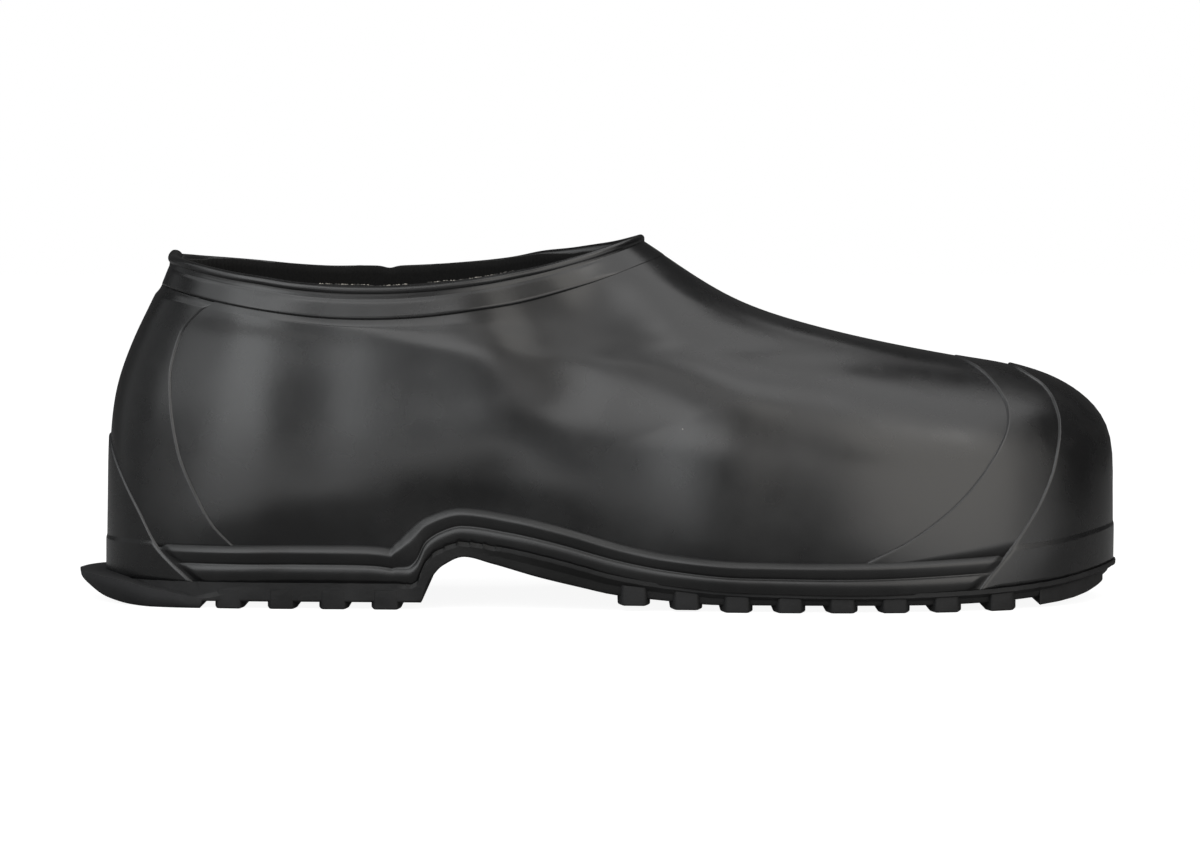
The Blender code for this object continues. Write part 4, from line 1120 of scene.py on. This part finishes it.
first_x, last_x = RINGS[0].heel_x + END_CLEAR, RINGS[0].front_x - END_CLEAR
spaced = [first_x + (last_x - first_x) * eased(STATIONS)]
stations = np.unique(np.concatenate(spaced + [np.linspace(*run) for run in FINE_STATIONS]))
outer_t, inner_t = (at_x(LOOPS[0], stations, side) for side in (-1, 1))
sole_t = np.concatenate(([HEEL], outer_t, [TOE], inner_t[::-1]))
from_heel = np.minimum(sole_t, 1 - sole_t) * PERIMETER
edge_x = on_loop(LOOPS[0], sole_t)[:, 0]
ledge = smooth_step(LEDGE_END, LEDGE_FULL, from_heel)
reach = curve(LEDGE["along"], LEDGE["out"], from_heel)
lean = SIDE_LEAN * smooth_step(LEAN_FROM, LEAN_TO, edge_x)
torn = smooth_step(*TORN_BACK, edge_x) * smooth_step(*TORN_FRONT, edge_x)
flash = uneven(from_heel, FLASH) - TORN_FLASH * torn * (TORN_MEAN + uneven(from_heel, TORN_WAVE))
foot_out = SOLE_EDGE + EDGE_RINGS[-1].ledge * reach - lean
foot_z = base_line(sole_ring(sole_t, foot_out)[:, 0])
rim = sole_ring(sole_t, SOLE_EDGE + flash)
top_z = footbed_line(rim[:, 0]) + FLASH_UP * flash
lip_z = np.maximum(top_z - SOLE_LIP, 0.5 * (top_z + foot_z))
side_grey = SIDE_GREY * (1 - smooth_step(*WAIST_BACK, edge_x) * smooth_step(*WAIST_FRONT, edge_x))
edge_rings = [np.column_stack((sole_ring(sole_t, -WALL), footbed_line(edge_x)))]
edge_rings += 2 * [np.column_stack((rim, top_z))]
edge_grey_rings = [0 * sole_t] + 2 * [FLASH_WEAR * (1 - torn)]
for edge in EDGE_RINGS:
    z = lip_z + (foot_z - lip_z) * edge.drop
    if edge.line:
        own = curve(LEDGE["along"], LEDGE[edge.line], from_heel)
        z = np.maximum(z * (1 - ledge) + own * ledge, foot_z + LEDGE_EDGE)
    seat = LEDGE_SEAT * smooth_step(0.0, SEAT_RISE, z - top_z) if edge.name == "lip" else 0.0
    plan = sole_ring(sole_t, SOLE_EDGE + edge.ledge * reach - edge.lean * lean - seat)
    copies = 2 if edge.name in CRISP_RINGS else 1
    edge_rings += copies * [np.column_stack((plan, z))]
    edge_grey_rings += copies * [np.maximum(side_grey, LEDGE_WEAR.get(edge.name, 0.0) * ledge)]
inset_foot = sole_ring(sole_t, foot_out - FOOT_INSET)
edge_rings.append(np.column_stack((inset_foot, base_line(inset_foot[:, 0]))))
edge_grey_rings.append(0 * sole_t)
print("edge of the plate: %d rings of %d points" % (len(edge_rings), len(sole_t)))

# %% [markdown]
# ## Plate of the sole
# The stack of rings is rounded and then closed by a lid above and below. A lid is a grid across the
# sole between points that face each other, so its rows follow the sole's bends.

# %% Plate of the sole
ACROSS = 15


def cut_corners(rings):
    """Cut corners along the stack of rings: each span keeps its points at a quarter and three quarters."""
    first, last = rings[:-1], rings[1:]
    pairs = np.stack((0.75 * first + 0.25 * last, 0.25 * first + 0.75 * last), axis=1)
    return np.concatenate((rings[:1], pairs.reshape(-1, *rings.shape[1:]), rings[-1:]))


def lid(ring, height):
    """Grid across the sole between each outer point of a ring and the inner one opposite."""
    half = len(stations) + 1
    outer_side = ring[:half + 1]
    inner_side = ring[(len(ring) - np.arange(half + 1)) % len(ring)]
    share = np.linspace(0, 1, ACROSS)[None, :, None]
    grid = outer_side[:, None, :] * (1 - share) + inner_side[:, None, :] * share
    grid[:, 1:-1, 2] = height(grid[:, 1:-1, 0])
    return grid


stack, grey_share = (cut_corners(cut_corners(np.stack(rings))) for rings in (edge_rings, edge_grey_rings))
parts = [(stack.reshape(-1, 3), quads(numbered(*stack.shape[:2]))[:, ::-1], [], grey_share.ravel())]
for ring, height, way in ((stack[0], footbed_line, -1), (stack[-1], base_line, 1)):
    grid = lid(ring, height)
    count = grid.size // 3
    faces = quads(np.arange(count).reshape(grid.shape[:2]))[:, ::way]
    parts.append((grid.reshape(-1, 3), faces, [], np.zeros(count)))
print("plate: %d rings of %d points" % stack.shape[:2])

# %% [markdown]
# ## Bars of the tread
# Each bar runs across the sole and narrows at its two ends, where its side faces catch the light. The
# bar is its plan outline with rounded corners, carried down and drawn in by a quarter circle at the
# bottom edge.

# %% Bars
LUG_TAPER, LUG_COVER, LUG_ROOT = 6.0, 1.3, 3.5
Lugs = namedtuple("Lugs", "x wide end reach")
HEEL_LUGS = Lugs((-112.4, -96.3, -80.6, -64.7), 9.2, 7.4, 0.25)
FORE_LUGS = Lugs((10.2, 25.9, 41.0, 56.8, 72.5, 88.2, 103.9, 121.0), 9.8, 7.0, -0.6)
TOE_LUG_FROM, TOE_LUG_TO, TOE_LUG_INSET = 133.0, 155.4, 1.6
TOE_LUG_SHARES = np.array((0.0, 0.3, 0.55, 0.75, 0.9, 1.0))
CORNER, CORNER_LIMIT, CORNER_POINTS = 1.1, 0.4, 5
BOTTOM_ROUND, BOTTOM_POINTS = 0.55, 5
SHORT_BAR, EDGE_SAMPLES = 15, 800


def edge_y(x, side, out):
    """y of the sole's edge, moved out, at each x."""
    plan = sole_ring(np.linspace(0 if side < 0 else 1, TOE, EDGE_SAMPLES), out)
    return np.interp(x, plan[:, 0], plan[:, 1])


def fillet(outline, size):
    """Each corner becomes a parabola between points `size` back along its two sides."""
    before, after = np.roll(outline, 1, axis=0) - outline, np.roll(outline, -1, axis=0) - outline
    limit = [np.linalg.norm(side, axis=1, keepdims=True) for side in (before, after)]
    first = outline + before / limit[0] * np.minimum(size, CORNER_LIMIT * limit[0])
    last = outline + after / limit[1] * np.minimum(size, CORNER_LIMIT * limit[1])
    u = np.linspace(0, 1, CORNER_POINTS)[None, :, None]
    bent = first[:, None] * (1 - u) ** 2 + 2 * outline[:, None] * u * (1 - u) + last[:, None] * u ** 2
    return bent.reshape(-1, 2)


def drawn_in(outline, size):
    """Outline moved inwards, square to its own direction."""
    along = unit(np.roll(outline, -1, axis=0) - np.roll(outline, 1, axis=0))
    return outline + size * np.stack((-along[:, 1], along[:, 0]), axis=1)


def bar(outline):
    """Closed bar: rings from its root down, the last ones round into the flat face on the floor."""
    outline = fillet(outline, CORNER)
    low = curve(TREAD_LINE["x"], TREAD_LINE["z"], outline[:, 0])
    if np.ptp(outline[:, 0]) < SHORT_BAR:
        low[:] = curve(TREAD_LINE["x"], TREAD_LINE["z"], np.array([outline[:, 0].mean()]))
    high = np.minimum(sole_line(outline[:, 0]) - LUG_COVER, base_line(outline[:, 0]) + LUG_ROOT)
    rings = [np.column_stack((outline, high))]
    for angle in np.linspace(0, 0.5 * np.pi, BOTTOM_POINTS):
        plan = drawn_in(outline, BOTTOM_ROUND * (1 - np.cos(angle)))
        rings.append(np.column_stack((plan, low + BOTTOM_ROUND * (1 - np.sin(angle)))))
    rings = np.stack(rings)
    number = numbered(*rings.shape[:2])
    caps = [number[0, :-1], number[-1, :-1][::-1]]
    # Every point of a bar gets the same grey, a painted sheen.
    return rings.reshape(-1, 3), quads(number)[:, ::-1], caps, np.full(rings.size // 3, LUG_PAINTED_SHEEN)


def bar_outline(x, lugs):
    """Plan of one bar: straight sides, drawn in at both ends."""
    wide, end = lugs.wide / 2, lugs.end / 2
    outline = []
    for side in (-1, 1):
        ends = edge_y(np.array((x - end, x + end)), side, SOLE_EDGE + lugs.reach)
        inset = edge_y(np.array((x - wide, x + wide)), side, SOLE_EDGE + lugs.reach) - side * LUG_TAPER
        corners = [(x - wide, inset[0]), (x - end, ends[0]), (x + end, ends[1]), (x + wide, inset[1])]
        outline.extend(corners if side < 0 else corners[::-1])
    return np.array(outline)


bars = [bar(bar_outline(x, lugs)) for lugs in (HEEL_LUGS, FORE_LUGS) for x in lugs.x]
x = TOE_LUG_FROM + (TOE_LUG_TO - TOE_LUG_FROM) * TOE_LUG_SHARES
toe_outline = np.concatenate([np.column_stack((x, edge_y(x, side, SOLE_EDGE - TOE_LUG_INSET)))[::-side]
                              for side in (-1, 1)])
bars.append(bar(toe_outline))
whole = parts + bars
starts = np.cumsum([0] + [len(part[0]) for part in whole[:-1]])
# These are the sole's grey shares: rubbed flash and ledge, greyed sides, and on the bars a painted sheen.
points, grey_share = (np.concatenate([part[k] for part in whole]) for k in (0, 3))
faces = np.concatenate([part[1] + start for part, start in zip(whole, starts)]).tolist()
faces += [(cap + start).tolist() for part, start in zip(whole, starts) for cap in part[2]]
sole = make_mesh("lugged_sole", points, faces, TREAD_RUBBER, sharp=True, wear_and_sheen=grey_share)
settle(sole, "sole_rubber", "outsole")

# %% [markdown]
# ## Footbed cloth
# Inside, a thin sock of the lining's knit covers the top of the sole and hides its joint with the wall.

# %% Footbed
FOOTBED_INSET, FOOTBED_THICK, FOOTBED_LIFT = WALL + 0.5, 0.9, 0.05
plan = sole_ring(sole_t, -FOOTBED_INSET)
cloth = lid(np.column_stack((plan, sole_line(plan[:, 0]))), sole_line)[:, ::-1]
sock = shell(cloth + (0, 0, FOOTBED_THICK), cloth + (0, 0, FOOTBED_LIFT))
settle(make_mesh("footbed_cloth", *sock, LINING_KNIT), "upper_rubber")

# %% [markdown]
# ## Stage
# A pale floor in a white room. The room looks white to the camera and dim to the shoe, as with black
# flags in a studio. The floor glows: white to the camera, and to the shoe in two painted pools of
# light in front of it.

# %% Floor
FLOOR_HALF, FLOOR_GLOW, FAR_FLOOR = 6.0, 0.92, (0.2, 0.5)
# The pools are painted light: patches where the floor glows for the shoe alone.
LEFT_POOL = {"Y": (-0.16, -0.36), "X": (0.02, -0.1)}
RIGHT_POOL = {"Y": (-0.06, -0.12), "X": (0.1, 0.17)}
POOL_END, POOL_DIM, POOL_PAINTED_GLOW = (-1.4, -0.8), 0.05, 1.5


def pool(tree, side, reach):
    """Soft painted pool of light on the floor: one ramp across times one along."""
    return calc(tree, "MULTIPLY", *(ramp(tree, side[axis], *reach[axis]) for axis in ("Y", "X")))


def make_paper(name):
    """Matt paper that glows: white to the camera, a little less near the shoe, and to the shoe in two
    painted pools of light.
    """
    made, tree, shader = new_material(name)
    where = object_place(tree)
    far = add(tree, "ShaderNodeVectorMath", {0: where}, operation="LENGTH").outputs["Value"]
    glow = blend_colour(tree, ramp(tree, far, *FAR_FLOOR), grey(FLOOR_GLOW), grey(1.0))
    side = add(tree, "ShaderNodeSeparateXYZ", {"Vector": where}).outputs
    both = calc(tree, "MAXIMUM", pool(tree, side, LEFT_POOL), pool(tree, side, RIGHT_POOL))
    pools = calc(tree, "MULTIPLY", both, ramp(tree, side["Y"], *POOL_END))
    painted_pool_glow = blend_colour(tree, pools, grey(POOL_DIM), grey(POOL_PAINTED_GLOW))
    seen = add(tree, "ShaderNodeLightPath").outputs["Is Camera Ray"]
    fibre = blend_colour(tree, noise(tree, where, 900.0, 2.0), grey(0.18), grey(0.22))
    dress(tree, shader, {"Base Color": fibre, "Roughness": 0.9, "Specular IOR Level": 0.1,
                         "Emission Color": blend_colour(tree, seen, painted_pool_glow, glow), "Emission Strength": 1.0})
    made.cycles.emission_sampling = "NONE"
    return made


mesh = bpy.data.meshes.new("pale_floor")
corner = np.array(((-1, -1, 0), (1, -1, 0), (1, 1, 0), (-1, 1, 0))) * FLOOR_HALF
mesh.from_pydata(corner.tolist(), [], [(0, 1, 2, 3)])
mesh.materials.append(make_paper("paper"))
floor = new_object("pale_floor", mesh)
print("floor: %.0f m wide" % (2 * FLOOR_HALF))

# %% [markdown]
# ## Lights
# Black rubber shows only what it reflects, so the edges of the lights draw its form. Soft lights stand
# either side of the camera with a dim gap between them, and three hang overhead, one of them a little
# behind. Each light is set by the angle that it fills, as the rubber sees it.

# %% Lights
COOL, WHITE, WARM, WARMER = (0.97, 0.99, 1.0), (1.0, 1.0, 1.0), (1.0, 0.98, 0.95), (1.0, 0.975, 0.93)
Softbox = namedtuple("Softbox", "name azimuth elevation wide tall glow colour")
SOFTBOXES = (
    Softbox("left_core", -31, 14, 26, 30, 3.4, COOL),
    Softbox("left_high", -31, 45, 26, 32, 2.2, COOL),
    Softbox("left_wing", -60, 34, 32, 56, 1.5, COOL),
    Softbox("left_back", -92, 48, 32, 34, 0.9, COOL),
    Softbox("left_low", -100, 8, 44, 30, 0.25, COOL),
    Softbox("left_edge", -13, 10, 10, 24, 0.75, COOL),
    Softbox("high_box", -6.5, 51, 21, 22, 0.8, WHITE),
    Softbox("middle_box", -7.5, 32, 19, 18, 3.0, WHITE),
    Softbox("camera_gap", 0.5, 10, 17, 24, 0.25, WHITE),
    Softbox("right_edge", 16.5, 12, 15, 28, 1.6, WARM),
    Softbox("right_high", 14, 44, 20, 36, 0.7, WARM),
    Softbox("right_core", 43, 14, 38, 32, 2.4, WARMER),
    Softbox("right_top", 48, 44, 30, 28, 2.4, WARMER),
    Softbox("right_wing", 71, 25, 18, 50, 0.9, WARM),
    Softbox("overhead_front", 4, 71, 38, 26, 1.0, WHITE),
    Softbox("overhead_right", 90, 66, 40, 32, 1.75, WHITE),
    Softbox("overhead_back", 166, 57, 18, 22, 1.4, WHITE),
)
BOX_DISTANCE = 1.5
LIGHT_AIM = Vector((0.0, 0.0, 0.055))
ROOM_DIM = 0.06


def look_at(made, place, aim):
    """Puts an object at a place with its -Z axis towards an aim."""
    made.location = place
    made.rotation_euler = (Vector(aim) - Vector(place)).to_track_quat("-Z", "Y").to_euler()


for box in SOFTBOXES:
    light = bpy.data.lights.new(box.name, "AREA")
    light.shape = "RECTANGLE"
    angles = (math.radians(box.wide), math.radians(box.tall))
    light.size, light.size_y = (2 * BOX_DISTANCE * math.tan(angle / 2) for angle in angles)
    light.energy = box.glow * math.pi * light.size * light.size_y
    light.color = box.colour
    lamp = new_object(box.name, light)
    lamp.visible_camera = False
    az, el = math.radians(box.azimuth), math.radians(box.elevation)
    toward = Vector((math.sin(az) * math.cos(el), -math.cos(az) * math.cos(el), math.sin(el)))
    look_at(lamp, LIGHT_AIM + BOX_DISTANCE * toward, LIGHT_AIM)
world = bpy.data.worlds.new("studio")
world.use_nodes = True
tree = world.node_tree
seen = add(tree, "ShaderNodeLightPath").outputs["Is Camera Ray"]
dim, white = (add(tree, "ShaderNodeBackground", {"Color": grey(1.0), "Strength": glow}).outputs[0]
              for glow in (ROOM_DIM, 1.0))
room = add(tree, "ShaderNodeMixShader", {"Fac": seen, 1: dim, 2: white})
tree.links.new(room.outputs[0], tree.nodes["World Output"].inputs["Surface"])
bpy.context.scene.world = world
bpy.context.scene.view_settings.view_transform = "Standard"
print("lights:", [box.name for box in SOFTBOXES])

# %% [markdown]
# ## Camera
# The photograph was taken from the outer side, just above the shoe's middle height, from a little
# over a metre away.

# %% Camera
AIM = (SHIFT_X * MM, 0.0, 0.0538)
DISTANCE, ELEVATION = 1.3, math.radians(3.0)
LENS = 125.17
camera_data = bpy.data.cameras.new("camera")
camera_data.lens = LENS
camera = new_object("camera", camera_data)
look_at(camera, (AIM[0], -DISTANCE * math.cos(ELEVATION), AIM[2] + DISTANCE * math.sin(ELEVATION)), AIM)
bpy.context.scene.camera = camera
print("camera at", [round(c, 4) for c in camera.location])
